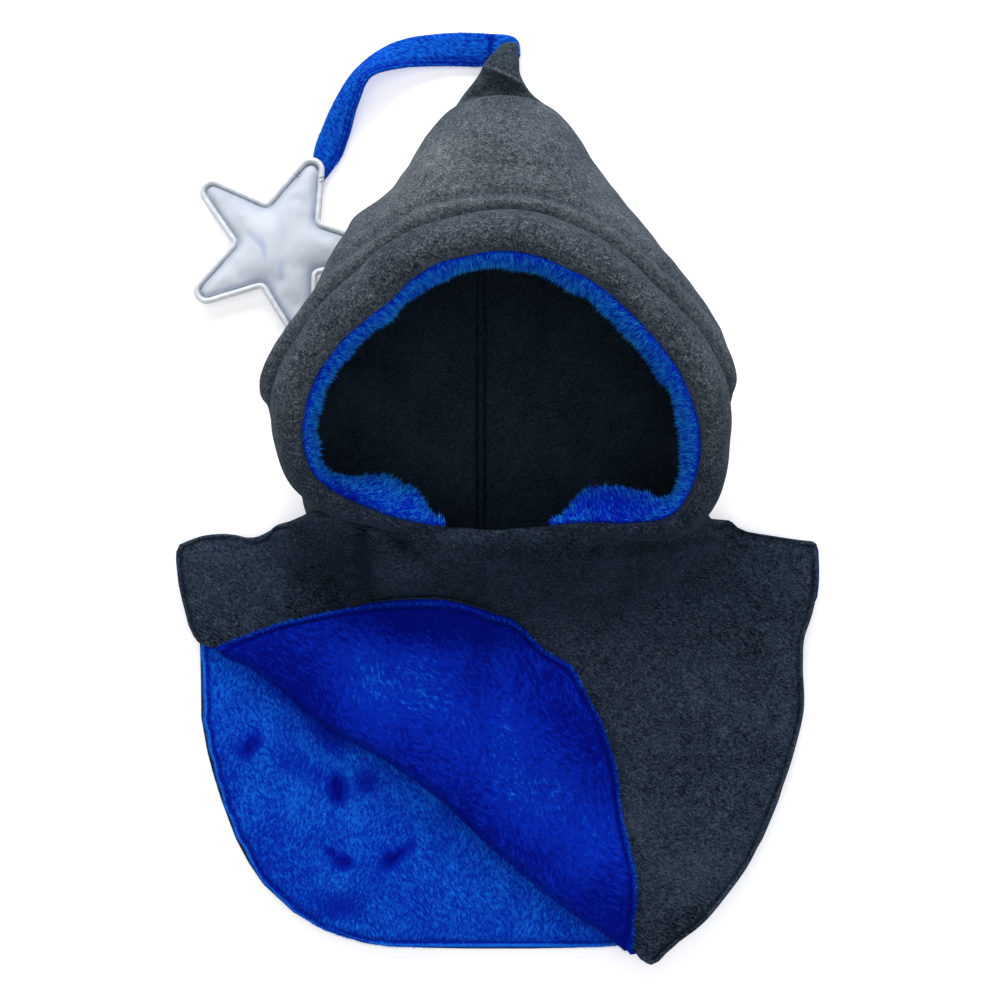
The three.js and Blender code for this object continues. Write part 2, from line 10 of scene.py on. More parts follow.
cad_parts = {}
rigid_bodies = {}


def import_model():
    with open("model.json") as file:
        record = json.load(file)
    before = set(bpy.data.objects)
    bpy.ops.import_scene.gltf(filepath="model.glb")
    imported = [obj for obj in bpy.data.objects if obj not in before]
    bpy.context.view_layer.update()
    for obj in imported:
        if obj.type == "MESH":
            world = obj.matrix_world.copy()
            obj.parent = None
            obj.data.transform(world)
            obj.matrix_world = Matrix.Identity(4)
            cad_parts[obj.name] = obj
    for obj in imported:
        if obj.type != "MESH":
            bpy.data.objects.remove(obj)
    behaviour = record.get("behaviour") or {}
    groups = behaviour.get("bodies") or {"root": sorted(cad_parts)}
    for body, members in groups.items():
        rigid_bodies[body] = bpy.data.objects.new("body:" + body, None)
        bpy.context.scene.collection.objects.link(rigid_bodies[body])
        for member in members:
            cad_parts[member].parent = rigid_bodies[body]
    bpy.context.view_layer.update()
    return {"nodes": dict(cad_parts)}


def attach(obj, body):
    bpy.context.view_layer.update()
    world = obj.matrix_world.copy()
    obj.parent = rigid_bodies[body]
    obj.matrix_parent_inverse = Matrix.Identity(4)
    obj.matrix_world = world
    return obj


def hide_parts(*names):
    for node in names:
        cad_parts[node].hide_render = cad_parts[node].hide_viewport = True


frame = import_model()
bpy.ops.object.select_all(action="DESELECT")
print("frame loaded:", len(frame["nodes"]), "nodes")

mm = 0.001  # shapes are worked out in millimetres and made in metres


def table(names, *rows):
    return dict(zip(names.split(), np.array(rows, float).T))


# A column of a table at any value of its first column, on a smooth curve through the rows
def through(rows, name, at):
    key = next(iter(rows))
    k, v = rows[key], rows[name]
    slope = np.gradient(v, k)
    at = np.clip(np.asarray(at, float), k[0], k[-1])
    i = np.clip(np.searchsorted(k, at, side="right") - 1, 0, len(k) - 2)
    span = k[i + 1] - k[i]
    t = (at - k[i]) / span
    start = (2 * t**3 - 3 * t**2 + 1) * v[i] + (t**3 - 2 * t**2 + t) * span * slope[i]
    end = (3 * t**2 - 2 * t**3) * v[i + 1] + (t**3 - t**2) * span * slope[i + 1]
    return start + end


def rowAt(rows, at):
    return {name: through(rows, name, at) for name in rows}


# The sideways direction in plan of a path through the rows
def sideways(rows, at, step):
    dx, dy = (through(rows, name, at + step) - through(rows, name, at - step) for name in ("x", "y"))
    long = np.hypot(dx, dy)
    return -dy / long, dx / long


def mix(a, b, t):
    return a + (b - a) * t


def smoothBetween(low, high, value):
    t = np.clip((value - low) / (high - low), 0, 1)
    return t * t * (3 - 2 * t)


def bell(value, width):
    return np.exp(-((value / width) ** 2))


# Gentle unevenness of cloth: a few waves in seeded directions, about -1 to 1
def waves(x, y, size, seed, count=7):
    r = np.random.default_rng(seed)
    total = np.zeros(np.broadcast(x, y).shape)
    for turn, length, phase in zip(r.random(count) * 2 * math.pi, r.uniform(0.7, 1.5, count), r.random(count)):
        along = (x * math.cos(turn) + y * math.sin(turn)) / (size * length)
        total += np.sin(2 * math.pi * (along + phase))
    return total / math.sqrt(count)


# How near a point is to a line through points in plan: 1 on the line, 0 away from it
def crease(x, y, line, width):
    best = np.full(np.shape(x), 1e9)
    for (ax, ay), (bx, by) in zip(line, line[1:]):
        dx, dy = bx - ax, by - ay
        t = np.clip(((x - ax) * dx + (y - ay) * dy) / (dx * dx + dy * dy), 0, 1)
        best = np.minimum(best, np.hypot(x - ax - t * dx, y - ay - t * dy))
    return bell(best, width)


def distanceTo(x, y, outline):
    shape = np.shape(x)
    points = np.stack([np.ravel(x), np.ravel(y)], 1)
    best = np.full(len(points), 1e9)
    for i in range(len(outline) - 1):
        a, b = outline[i], outline[i + 1]
        d = b - a
        t = np.clip(((points - a) @ d) / max(d @ d, 1e-9), 0, 1)
        best = np.minimum(best, np.hypot(*(points - a - t[:, None] * d).T))
    return best.reshape(shape)


def closed(outline):
    return np.concatenate([outline, outline[:1]])


def unit(vectors):
    return vectors / np.maximum(np.linalg.norm(vectors, axis=-1, keepdims=True), 1e-9)


# How far along a line each of its points is, and the points of a line at such places
def lengthAlong(line):
    return np.concatenate([[0], np.cumsum(np.linalg.norm(np.diff(line, axis=0), axis=1))])


def pointsAt(at, far, line):
    return np.stack([np.interp(at, far, line[:, k]) for k in range(line.shape[1])], -1)


def insideOf(x, y, outline):
    inside = np.zeros(np.shape(x), bool)
    for (ax, ay), (bx, by) in zip(outline, np.roll(outline, -1, 0)):
        crosses = (ay > y) != (by > y)
        inside ^= crosses & (x < (bx - ax) * (y - ay) / (by - ay if by != ay else 1e-9) + ax)
    return inside


def gridNormals(grid, round=False):
    if round:
        along = np.roll(grid, -1, 1) - np.roll(grid, 1, 1)
    else:
        along = np.gradient(grid, axis=1)
    return unit(np.cross(along, np.gradient(grid, axis=0)))


# Normals turned so that the one at a row and a column points up
def upward(normal, row, column):
    return -normal if normal[row, column, 2] < 0 else normal


def gridFaces(rows, columns, round=False, start=0):
    i, j = np.meshgrid(np.arange(rows - 1), np.arange(columns - (0 if round else 1)), indexing="ij")
    k = (j + 1) % columns
    faces = np.stack([i * columns + j, i * columns + k, (i + 1) * columns + k, (i + 1) * columns + j], -1)
    return faces.reshape(-1, 4) + start


def makePiece(name, points, faces, material, merge=0.02, second=None, marks=None):
    mesh = bpy.data.meshes.new(name)
    mesh.from_pydata((np.asarray(points).reshape(-1, 3) * mm).tolist(), [], [list(map(int, f)) for f in faces])
    if second:
        mesh.polygons.foreach_set("material_index", marks)
    shaped = bmesh.new()
    shaped.from_mesh(mesh)
    if merge:
        bmesh.ops.remove_doubles(shaped, verts=shaped.verts, dist=merge * mm)
        bmesh.ops.dissolve_degenerate(shaped, edges=shaped.edges, dist=1e-7)
        bmesh.ops.recalc_face_normals(shaped, faces=shaped.faces)
    for face in shaped.faces:
        face.smooth = True
    shaped.to_mesh(mesh)
    shaped.free()
    piece = bpy.data.objects.new(name, mesh)
    bpy.context.scene.collection.objects.link(piece)
    mesh.materials.append(material)
    if second:
        mesh.materials.append(second)
    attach(piece, "root")
    return piece


# A closed cloth wall between two surfaces that are grids of the same size
def makeWall(name, outer, inner, material, round=False, keep=None, second=None):
    rows, columns = outer.shape[:2]
    top = gridFaces(rows, columns, round)
    if keep is not None:
        top = top[keep[top].all(1)]
    bottom = top[:, ::-1] + rows * columns
    edges = {}
    for face in top:
        for a, b in zip(face, np.roll(face, -1)):
            edges[(int(a), int(b))] = True
    shift = rows * columns
    rim = [(b, a, a + shift, b + shift) for a, b in edges if (b, a) not in edges]
    points = np.concatenate([outer.reshape(-1, 3), inner.reshape(-1, 3)])
    marks = [0] * len(top) + [1] * len(bottom) + [0] * len(rim)
    piece = makePiece(name, points, [*top, *bottom, *rim], material, second=second, marks=marks)
    loose = bmesh.new()
    loose.from_mesh(piece.data)
    bmesh.ops.delete(loose, geom=[v for v in loose.verts if not v.link_faces], context="VERTS")
    loose.to_mesh(piece.data)
    loose.free()
    return piece


def pointsOf(mesh):
    points = np.zeros(len(mesh.vertices) * 3)
    mesh.vertices.foreach_get("co", points)
    return points.reshape(-1, 3) / mm


def setValues(piece, name, values):
    piece.data.attributes.new(name, "FLOAT", "POINT").data.foreach_set("value", values)


# Keeps values that are known at some points as an attribute of the piece's own points
def keepValues(piece, name, points, values):
    tree = KDTree(len(points))
    for i, p in enumerate(points):
        tree.insert(p * mm, i)
    tree.balance()
    setValues(piece, name, [float(values[tree.find(v.co)[1]]) for v in piece.data.vertices])


# Positions across a cloth, close together near both of its edges
def spread(count, width, near=(0, 0.5, 1.1, 1.7, 2.3, 2.9, 3.6, 4.8, 6.6, 9.5)):
    near = np.array(near) * min(1, width / 30)
    middle = np.linspace(near[-1], width - near[-1], count - 2 * len(near) + 2)
    return np.concatenate([near[:-1], middle, (width - near[:-1])[::-1]])


class Strand:
    def __init__(self, look, socket):
        self.look = look
        self.socket = socket

    def maths(self, operation, first, second=0.0):
        return self.look.add("Math", {"operation": operation}, {0: first, 1: second})

    def __add__(self, other):
        return self.maths("ADD", self, other)

    def __sub__(self, other):
        return self.maths("SUBTRACT", self, other)

    def __rsub__(self, other):
        return self.maths("SUBTRACT", other, self)

    def __mul__(self, other):
        return self.maths("MULTIPLY", self, other)

    __radd__ = __add__
    __rmul__ = __mul__


class Look:
    def __init__(self, name):
        self.material = bpy.data.materials.new(name)
        self.material.use_nodes = True
        self.tree = self.material.node_tree
        self.tree.nodes.clear()

    def add(self, kind, settings, sockets, output=0):
        node = self.tree.nodes.new("ShaderNode" + kind)
        for key, value in settings.items():
            setattr(node, key, value)
        for key, value in sockets.items():
            if isinstance(value, Strand):
                self.tree.links.new(value.socket, node.inputs[key])
            else:
                node.inputs[key].default_value = value
        return Strand(self, node.outputs[output]) if len(node.outputs) else None

    def place(self):
        return self.add("TexCoord", {}, {}, "Object")

    def along(self, vector, way):
        return self.add("VectorMath", {"operation": "DOT_PRODUCT"}, {0: vector, 1: way}, "Value")

    def own(self, name):
        return self.add("Attribute", {"attribute_name": name}, {}, "Fac")

    def turned(self, vector, angle):
        return self.add("VectorRotate", {"rotation_type": "Z_AXIS"}, {"Vector": vector, "Angle": angle})

    def stretched(self, vector, x, y, z):
        return self.add("Mapping", {}, {"Vector": vector, "Scale": (x, y, z)})

    def noise(self, vector, scale, detail=2.0, roughness=0.5, distortion=0.0):
        sockets = {"Vector": vector, "Scale": scale, "Detail": detail}
        sockets.update({"Roughness": roughness, "Distortion": distortion})
        return self.add("TexNoise", {}, sockets, "Fac")

    def between(self, value, low, high, lowOut=0.0, highOut=1.0):
        sockets = {"Value": value, "From Min": low, "From Max": high, "To Min": lowOut, "To Max": highOut}
        return self.add("MapRange", {"interpolation_type": "SMOOTHSTEP"}, sockets)

    def blend(self, share, first, second):
        sockets = {"Factor": share, 6: first, 7: second}
        return self.add("Mix", {"data_type": "RGBA"}, sockets, 2)

    # 1 inside an ellipse in plan, fading to 0 over its edge
    def spot(self, place, x, y, long, short, turn=0.0, soft=0.5):
        moved = self.add("VectorMath", {"operation": "SUBTRACT"}, {0: place, 1: (x * mm, y * mm, 0)})
        scaled = self.stretched(self.turned(moved, -turn), 1 / (long * mm), 1 / (short * mm), 0)
        far = self.add("VectorMath", {"operation": "LENGTH"}, {0: scaled}, "Value")
        return self.between(far, 1 - soft, 1 + soft, 1, 0)

    def bump(self, height, distance, strength=1.0, normal=None):
        sockets = {"Height": height, "Distance": distance, "Strength": strength}
        if normal:
            sockets["Normal"] = normal
        return self.add("Bump", {}, sockets)

    def finish(self, sockets):
        shader = self.add("BsdfPrincipled", {}, sockets)
        self.add("OutputMaterial", {}, {"Surface": shader})
        return self.material


def colour(red, green, blue):
    def linear(c):
        c /= 255
        return c / 12.92 if c <= 0.04045 else ((c + 0.055) / 1.055) ** 2.4

    return (linear(red), linear(green), linear(blue), 1)


# Dark and pale flecks, low on the piece in painted shade and high on it in painted light, and where the painted
# light begins and is full
fleece = {
    "hood": {"tones": [(9, 16, 24), (82, 91, 101), (10, 17, 25), (88, 96, 105)], "from": -0.02, "to": 0.14},
    "band": {"tones": [(0, 3, 11), (13, 30, 54), (6, 12, 21), (62, 71, 82)], "from": -0.03, "to": 0.055},
    "yoke": {
        "tones": [(0, 3, 10), (46, 61, 80), (12, 20, 28), (60, 72, 84)],
        "from": -0.02,
        "to": 0.14,
        "sharp": 0.11,
    },
    # the inside is the same charcoal painted darker, as painted shade inside the hood
    "inside": {"tones": [(3, 10, 17), (36, 50, 62), (3, 10, 17), (36, 50, 62)], "from": 0, "to": 0.1},
    "fleckScale": 1800,
    "strokeScale": 1300,
    "patchScale": 34,
    "cloudScale": 190,
    "fibre": colour(138, 147, 155),
    "fibres": ((0.35, 420), (-0.75, 520), (1.5, 470)),  # their way and scale
    "fibreWidth": 0.06,
    "paintedGrooveShade": 0.5,
    "sheen": 0.08,
    "insideSheen": 0.01,
    "napDepth": 0.0006,
    "lumpScale": 420,
    "lumpDepth": 0.0009,
}

# Painted shade (deep above 0) and painted light or highlight (below 0), in soft ellipses; on the yoke the three
# smallest pale ones are lint specks
# painted shade over the tip and its valley, a painted highlight on the tip's seam ridge, and painted light on the
# cone's left side
tipPaintedShade = [
    (5, 214, 26, 17, 0, 0.42), (-2, 200, 27, 6, -0.1, 0.3), (3.6, 207.6, 12.5, 0.7, -0.39, -1.1),
    (-38, 150, 22, 36, 0.4, -0.22),
]
# painted shade under the chin, in the neck creases and under the band's edge, painted light on the bulges, and
# three pale lint specks
yokePaintedShadeAndLint = [
    (8, -36, 112, 27, 0.0, 0.5),
    (-66, -27, 19, 4.0, -1.45, 0.6),
    (-80, -26, 16, 12, 0.2, 0.35),
    (-43, -32, 17, 7, 0.35, -0.45),
    (-45, -22.5, 10, 3.4, -0.75, 0.55),
    (44, -27, 15, 2.6, 1.0, 0.22),
    (69, -23.5, 26, 3.2, 0.08, 0.4),
    (-4, -16, 40, 3.5, 0.0, -0.3),
    (-150.2, -27.3, 0.5, 0.35, 0.5, -1.6),
    (-139.2, -44.3, 0.55, 0.3, -0.4, -1.5),
    (-96, -40, 0.4, 0.3, 0.2, -1.3),
]
# painted shade along the two edges of the back seam's allowance
insideSeamPaintedShade = [(-11.4, 20, 0.9, 80, 0, 0.6), (-7.7, 20, 0.9, 80, 0, 0.6)]


# Charcoal heather fleece: felted flecks of dark and pale, with single pale fibres; painted light makes it lighter
# towards the point, and painted shade darkens its creases and hems
def makeFleece(name, piece, paintedShades=()):
    look = Look(name)
    place = look.place()
    flecks = look.noise(place, fleece["fleckScale"], 4, 0.8)
    strokes = look.noise(look.stretched(look.turned(place, 0.5), 0.4, 1, 1), fleece["strokeScale"], 3, 0.7)
    sharp = fleece[piece].get("sharp", 0.16)
    patches = look.noise(place, fleece["patchScale"], 3, 0.6)
    clouds = look.noise(place, fleece["cloudScale"], 3, 0.6)
    felt = flecks * 0.55 + strokes * 0.45 + (patches - 0.5) * 0.16 + (clouds - 0.5) * 0.1
    grain = look.between(felt, 0.5 - sharp, 0.5 + sharp)
    fibres = 0.0
    for angle, scale in fleece["fibres"]:
        line = look.noise(look.stretched(look.turned(place, angle), 0.45, 1, 1), scale, 1, 0.5, 0.4) - 0.5
        fibres = fibres + look.between(line.maths("ABSOLUTE", line), 0, fleece["fibreWidth"], 1, 0)
    # painted light: the upper part of each piece takes the lit tones and shows more pale fibres, the lower part
    # takes the shaded tones
    along = look.along(place, (0, 1, 0))
    high = look.between(along, fleece[piece]["from"], fleece[piece]["to"])
    darkShaded, lightShaded, darkLit, lightLit = (colour(*c) for c in fleece[piece]["tones"])
    base = look.blend(grain, look.blend(high, darkShaded, darkLit), look.blend(high, lightShaded, lightLit))
    if piece != "inside":
        base = look.blend(fibres * (high * 0.2 + 0.09) * grain, base, fleece["fibre"])
    # painted shade in creases and hem grooves from the fold attribute, then the painted shade and light of the
    # ellipses
    light = 1 - look.own("fold") * fleece["paintedGrooveShade"]
    for x, y, long, short, turn, deep in paintedShades:
        light = light * (1 - look.spot(place, x, y, long, short, turn, 0.8) * deep)
    # painted shade turns the cloth bluer as well as darker
    tint = {"X": light * (light * 0.3 + 0.7), "Y": light, "Z": light * (1.15 - light * 0.15)}
    light = look.add("CombineXYZ", {}, tint)
    base = look.add("VectorMath", {"operation": "MULTIPLY"}, {0: base, 1: light})
    nap = look.bump(flecks * 0.5 + strokes * 0.5, fleece["napDepth"], 0.6)
    return look.finish({
        "Base Color": base,
        "Roughness": 0.95,
        "Specular IOR Level": 0.04,
        "Sheen Weight": fleece["insideSheen" if piece == "inside" else "sheen"],
        "Sheen Roughness": 0.6,
        "Sheen Tint": colour(120, 150, 190),
        "Normal": look.bump(look.noise(place, fleece["lumpScale"], 3, 0.6), fleece["lumpDepth"], 0.35, nap),
    })


plush = {
    "dark": (0.0008, 0.0032, 0.19),
    "mid": (0.0014, 0.019, 0.40),
    "light": (0.006, 0.16, 0.80),
    # the strands' tip tone, where painted highlight falls
    "tips": (0.012, 0.2, 0.78),
    "roughness": 0.75,
    "sheen": 0.1,
    "fineScale": 2400,
    "swingScale": 38,
    "swing": 0.4,
    "paintedGrooveShade": 0.5,
    "markSize": 0.9,
    "markDark": 0.42,
    "napDepth": 0.0011,
}

# nap marks brushed into the back lining, and painted shadow beside the fold at (-82, -113) and (-106, -92)
napMarksAndFoldShadow = table(
    "x y long short turn deep",
    (-122.5, -120.5, 4.0, 5.8, -0.5, 0.75),
    (-127, -125, 3.6, 4.6, 0.9, 0.5),
    (-80.9, -143.8, 4.8, 7.6, 0.05, 1.15),
    (-66.7, -140.4, 6.0, 5.4, 0.0, 0.5),
    (-78, -179.6, 5.0, 4.0, -0.3, 1.0),
    (-84.5, -174.7, 3.2, 2.4, -0.5, 0.7),
    (-54.5, -178.6, 6.2, 3.6, 0.55, 0.9),
    (-46, -173, 6.0, 2.8, 0.75, 0.5),
    (-82.6, -202, 13, 7, 0.0, 0.4),
    (-82, -113, 13, 10, -0.6, 0.7),
    (-106, -92, 20, 7, -0.6, 0.4),
    (-98, -133, 16, 6, -0.5, 0.25),
)


# Royal-blue plush: short pile brushed one way, darker where it is brushed back at nap marks or lies in painted
# shadow by the fold, with the painted shade and light of a shade function.
# On the strands themselves the tone runs from painted shade at their roots to painted highlight at their tips
def makePlush(
    name, nap=0.0, grain=620, patchSize=20, contrast=1.0, marks=None, shade=None, strands=False, lift=1.0, pale=0.0
):
    look = Look(name)
    place = look.place()
    fine = look.noise(place, plush["fineScale"], 2, 0.6)
    brushed = look.noise(look.stretched(place, 1, 0.55, 1), patchSize, 3, 0.55, 0.6)
    if strands:
        pile = look.own("tone")
    else:
        # short streaks along the nap, which swings to either side of its way from patch to patch
        swing = look.between(look.noise(place, plush["swingScale"], 2, 0.5), 0.42, 0.58)
        ways = (look.stretched(look.turned(place, nap + a), 0.42, 1, 1) for a in (-plush["swing"], plush["swing"]))
        one, other = (look.noise(way, grain, 2, 0.6) for way in ways)
        # painted shade in hem grooves and seam dips, from the fold attribute
        pile = (one + (other - one) * swing - 0.5) * 1.5 + 0.45 - look.own("fold") * plush["paintedGrooveShade"]
    tone = pile * 0.6 + fine * 0.15 + brushed * 0.7 * contrast + (0.14 + pale - 0.35 * contrast)
    if shade:
        tone = tone + shade(look, place)
    if marks is not None:
        for x, y, long, short, turn, deep in zip(*(column.tolist() for column in marks.values())):
            size = plush["markSize"]
            tone = tone - look.spot(place, x, y, long * size, short * size, turn, 0.8) * (plush["markDark"] * deep)
    low = look.between(tone, 0.16, 0.5)
    high = look.between(tone, 0.5, 0.84)
    names = ("dark", "mid", "tips" if strands else "light")
    dark, mid, light = ([min(lift * c, 1) for c in plush[k]] + [1] for k in names)
    base = look.blend(high, look.blend(low, dark, mid), light)
    sockets = {
        "Base Color": base,
        "Roughness": plush["roughness"],
        "Specular IOR Level": 0.02,
        "Sheen Weight": plush["sheen"],
        "Sheen Roughness": 0.45,
        "Sheen Tint": (0.0, 0.22, 1.0, 1),
    }
    if not strands:
        sockets["Normal"] = look.bump(pile * 0.8 + fine * 0.3, plush["napDepth"], 0.7)
    return look.finish(sockets)


# The soft creases that hands have left across the star's face, with painted bluish shade in them
starCreaseShade = [
    (-120.6, 129.0, 5.2, 1.5, -0.75, 0.9), (-117.3, 124.2, 5.0, 1.3, -1.35, 0.9),
    (-108.4, 113.4, 5.4, 1.5, -1.5, 0.8),
]


silverCloth = {
    "foldScale": 42,
    "weaveScale": 1800,
    "dull": colour(196, 206, 220),
    "bright": colour(214, 222, 233),
    "seam": colour(148, 160, 186),
    "crease": colour(164, 180, 220),
}


def makeSilver(name):
    look = Look(name)
    place = look.place()
    folds = look.noise(look.stretched(look.turned(place, 0.6), 1, 0.45, 1), silverCloth["foldScale"], 3, 0.55, 0.9)
    weave = look.noise(place, silverCloth["weaveScale"], 2, 0.6)
    base = look.blend(look.between(folds, 0.3, 0.7), silverCloth["dull"], silverCloth["bright"])
    # painted shade where the pad dips to the rim, in the seam colour
    base = look.blend(look.own("fold") * 0.6, base, silverCloth["seam"])
    # painted bluish shade in the creases
    for x, y, long, short, turn, deep in starCreaseShade:
        mark = look.spot(place, x, y, long, short, turn, 0.9) * deep * 0.6
        base = look.blend(mark, base, silverCloth["crease"])
    return look.finish({
        "Base Color": base,
        "Roughness": look.between(weave, 0.3, 0.7, 0.42, 0.55),
        "Specular IOR Level": 0.35,
        "Normal": look.bump(folds * 0.8 + weave * 0.2, 0.0011, 0.5),
    })


def makePiping(name):
    look = Look(name)
    place = look.place()
    rub = look.noise(place, 300, 3, 0.6)
    height = look.along(place, (0, 0, 1))
    rim = look.between(height, (star["rimBase"] + 0.2) * mm, (star["rimBase"] + 2.1) * mm)
    base = look.blend(look.between(rub, 0.35, 0.7), colour(214, 220, 228), colour(236, 240, 245))
    # painted contact shadow: grey on the rim's lower sides near the floor
    base = look.blend(rim, colour(104, 112, 130), base)
    return look.finish({
        "Base Color": base,
        "Roughness": look.between(rub, 0.3, 0.7, 0.4, 0.6),
        "Normal": look.bump(rub, 0.0002, 0.3),
    })


def makeThread(name, dark, light):
    look = Look(name)
    twist = look.noise(look.place(), 3200, 2, 0.6)
    return look.finish({
        "Base Color": look.blend(twist, dark, light),
        "Roughness": 0.7,
        "Specular IOR Level": 0.1,
        "Normal": look.bump(twist, 0.0002, 0.5),
    })


hoodFleece = makeFleece("hoodFleece", "hood", tipPaintedShade)
bandFleece = makeFleece("bandFleece", "band")
yokeFleece = makeFleece("yokeFleece", "yoke", yokePaintedShadeAndLint)
insideShadedFleece = makeFleece("insideShadedFleece", "inside", insideSeamPaintedShade)
silver = makeSilver("silverCloth")
darkThread = makeThread("darkThread", colour(2, 4, 9), colour(9, 13, 22))
blueThread = makeThread("blueThread", colour(0, 3, 40), colour(2, 12, 88))
print("finishes made")


# Tufts of four faces each, from their roots, leaning from up towards way
def growTufts(name, root, up, way, user, r, material):
    count = len(root)
    swirl = waves(root[:, 0], root[:, 1], user["swirlSize"], user["seed"] + 1)[:, None]
    side = np.cross(up, way)
    lean = up * (1 - user["lean"]) + (way + side * swirl * 0.8) * user["lean"]
    lean = lean + r.normal(0, user["stray"], (count, 3))
    lean = unit(lean)
    clump = waves(root[:, 0], root[:, 1], user["clump"], user["seed"] + 2)
    highlight = np.clip(r.random(count) ** 1.3 * (1 + 0.5 * clump), 0, 1.2) * user.get("paintedHighlight", 1)
    length = (user["length"] * (r.uniform(0.6, 1.1, count) + 0.35 * highlight))[:, None]
    across = unit(np.cross(lean, up + 1e-3))
    other = np.cross(lean, across)
    half = user["width"] / 2 * (1 + 0.3 * highlight[:, None])
    base = root - up * 0.25
    thirds = (0, 2.094, 4.189)
    ring = [base + half * (math.cos(q) * across + math.sin(q) * other) for q in thirds]
    stack = np.stack([*ring, root + lean * length], 1)
    stack[..., 2] = np.maximum(stack[..., 2], 0.02)
    index = np.array([(0, 1, 3), (1, 2, 3), (2, 0, 3), (2, 1, 0)])
    faces = (index[None] + np.arange(count)[:, None, None] * 4).reshape(-1, 3)
    piece = makePiece(name, stack, faces, material, merge=0)
    highlight = highlight[:, None]
    atTip = np.array([[0, 0, 0, 1]])
    # painted shade at the roots, painted highlight on the tips and on the most highlighted tufts
    tone = 0.12 + 0.2 * r.random((count, 1)) + 0.45 * highlight + atTip * (0.15 + 0.35 * highlight)
    setValues(piece, "tone", (tone + user.get("pale", 0)).ravel())
    print(name, count, "tufts")
    return piece


# A fuzzy edge: tufts along a line, leaning out of the cloth
def makeFringe(name, line, outward, user, material):
    r = np.random.default_rng(user["seed"])
    far = lengthAlong(line)
    at = r.random(int(user["perLength"] * far[-1])) * far[-1]
    root, out = pointsAt(at, far, line), pointsAt(at, far, outward)
    root = root - out * r.uniform(0, 1.6, (len(at), 1)) + (0, 0, 0.1)
    return growTufts(name, root, np.tile((0, 0, 1.0), (len(at), 1)), out, user, r, material)


def makePile(name, source, user, material, where, flow):
    mesh = source.data
    mesh.calc_loop_triangles()
    points = pointsOf(mesh)
    corners = np.zeros(len(mesh.loop_triangles) * 3, int)
    mesh.loop_triangles.foreach_get("vertices", corners)
    a, b, c = (points[corners.reshape(-1, 3)[:, k]] for k in range(3))
    cross = np.cross(b - a, c - a)
    area = np.linalg.norm(cross, axis=1) / 2
    normal = cross / np.maximum(2 * area[:, None], 1e-9)
    weight = area * where((a + b + c) / 3, normal)
    r = np.random.default_rng(user["seed"])
    count = int(user["perSquare"] * weight.sum())
    pick = r.choice(len(weight), count, p=weight / weight.sum())
    u, v = r.random((2, count, 1))
    u, v = np.where(u + v > 1, 1 - u, u), np.where(u + v > 1, 1 - v, v)
    root = a[pick] + u * (b[pick] - a[pick]) + v * (c[pick] - a[pick])
    up = normal[pick]
    way = flow(root)
    way = way - (way * up).sum(1, keepdims=True) * up
    return growTufts(name, root, up, way, user, r, material)


def makeStitches(name, points, user, material):
    up = np.array([0, 0, 1.0])
    along = lengthAlong(points)
    starts = np.arange(1, along[-1] - user["length"], user["length"] + user["space"])
    verts, faces = [], []
    for start in starts:
        ends = [pointsAt(s, along, points) for s in (start, start + user["length"])]
        way = ends[1] - ends[0]
        long = np.linalg.norm(way)
        if long < 0.2:
            continue
        way /= long
        side = np.cross(up, way)
        first = len(verts)
        for share, size in ((0, 0.25), (0.18, 0.85), (0.5, 1), (0.82, 0.85), (1, 0.25)):
            arch = user["rise"] * (1 - (2 * share - 1) ** 2)
            middle = ends[0] + way * long * share + up * arch
            for k in range(6):
                q = math.pi * k / 3
                verts.append(middle + user["radius"] * size * (math.cos(q) * side + math.sin(q) * up))
        faces += [tuple(f) for f in gridFaces(5, 6, True, first)]
        faces += [tuple(first + k for k in reversed(range(6))), tuple(first + 24 + k for k in range(6))]
    return makePiece(name, verts, faces, material, merge=0)


hood = {
    "rows": 190,
    "around": 168,
    "upper": 2.2,
    "lower": 2.4,
    "sink": 9,
    "tip": 226.2,
    "wall": 3,
    "bigWaves": 0.9,
    "smallWaves": 0.2,
    "valley": 2.4,
    "ridge": 0.8,
    "under": 0.45,  # how much of the band's width lies over the shell's edge
}

hoodSections = table(
    "y left right widest top bottom bow",
    (-11.6, -95, 97, 13, 57, 0, 0),
    (12, -99, 101, 38, 74, 0, 0),
    (38, -108, 107, 72, 93, 0, 0),
    (55, -111, 109, 75, 100, 0, 0),
    (68, -108, 107, 73, 103, 0, 0),
    (84, -99, 101, 69, 104, 0, 0),
    (102, -85.5, 88.5, 63, 103, 0, 0),
    (120, -75.5, 76, 56, 99, 0, 0),
    (135, -68.5, 66, 49, 91, 0, 1),
    (150, -54.5, 56, 43, 84, 0, 3),
    (166, -44, 45, 35, 76, 0, 4),
    (180, -37, 38.5, 28, 66, 1, 5),
    (189, -31, 33, 22, 58, 2.5, 5.5),
    (193, -27.5, 29.5, 20, 51, 4, 5.5),
    (195, -25.5, 27.5, 19, 36, 4.5, 5),
    (198, -22, 23.5, 18, 26, 5, 4.5),
    (203, -17.5, 15.5, 17, 25, 5, 3),
    (207, -12.5, 11.5, 17, 27, 5, 1),
    (217, -6.5, 9.5, 14, 25, 4.7, 0),
    (222.6, -1.6, 8.9, 12.4, 20.5, 4.7, 0),
)

tipSeam = [(-11, 214), (-7.9, 211), (2, 207), (15, 201.5)]

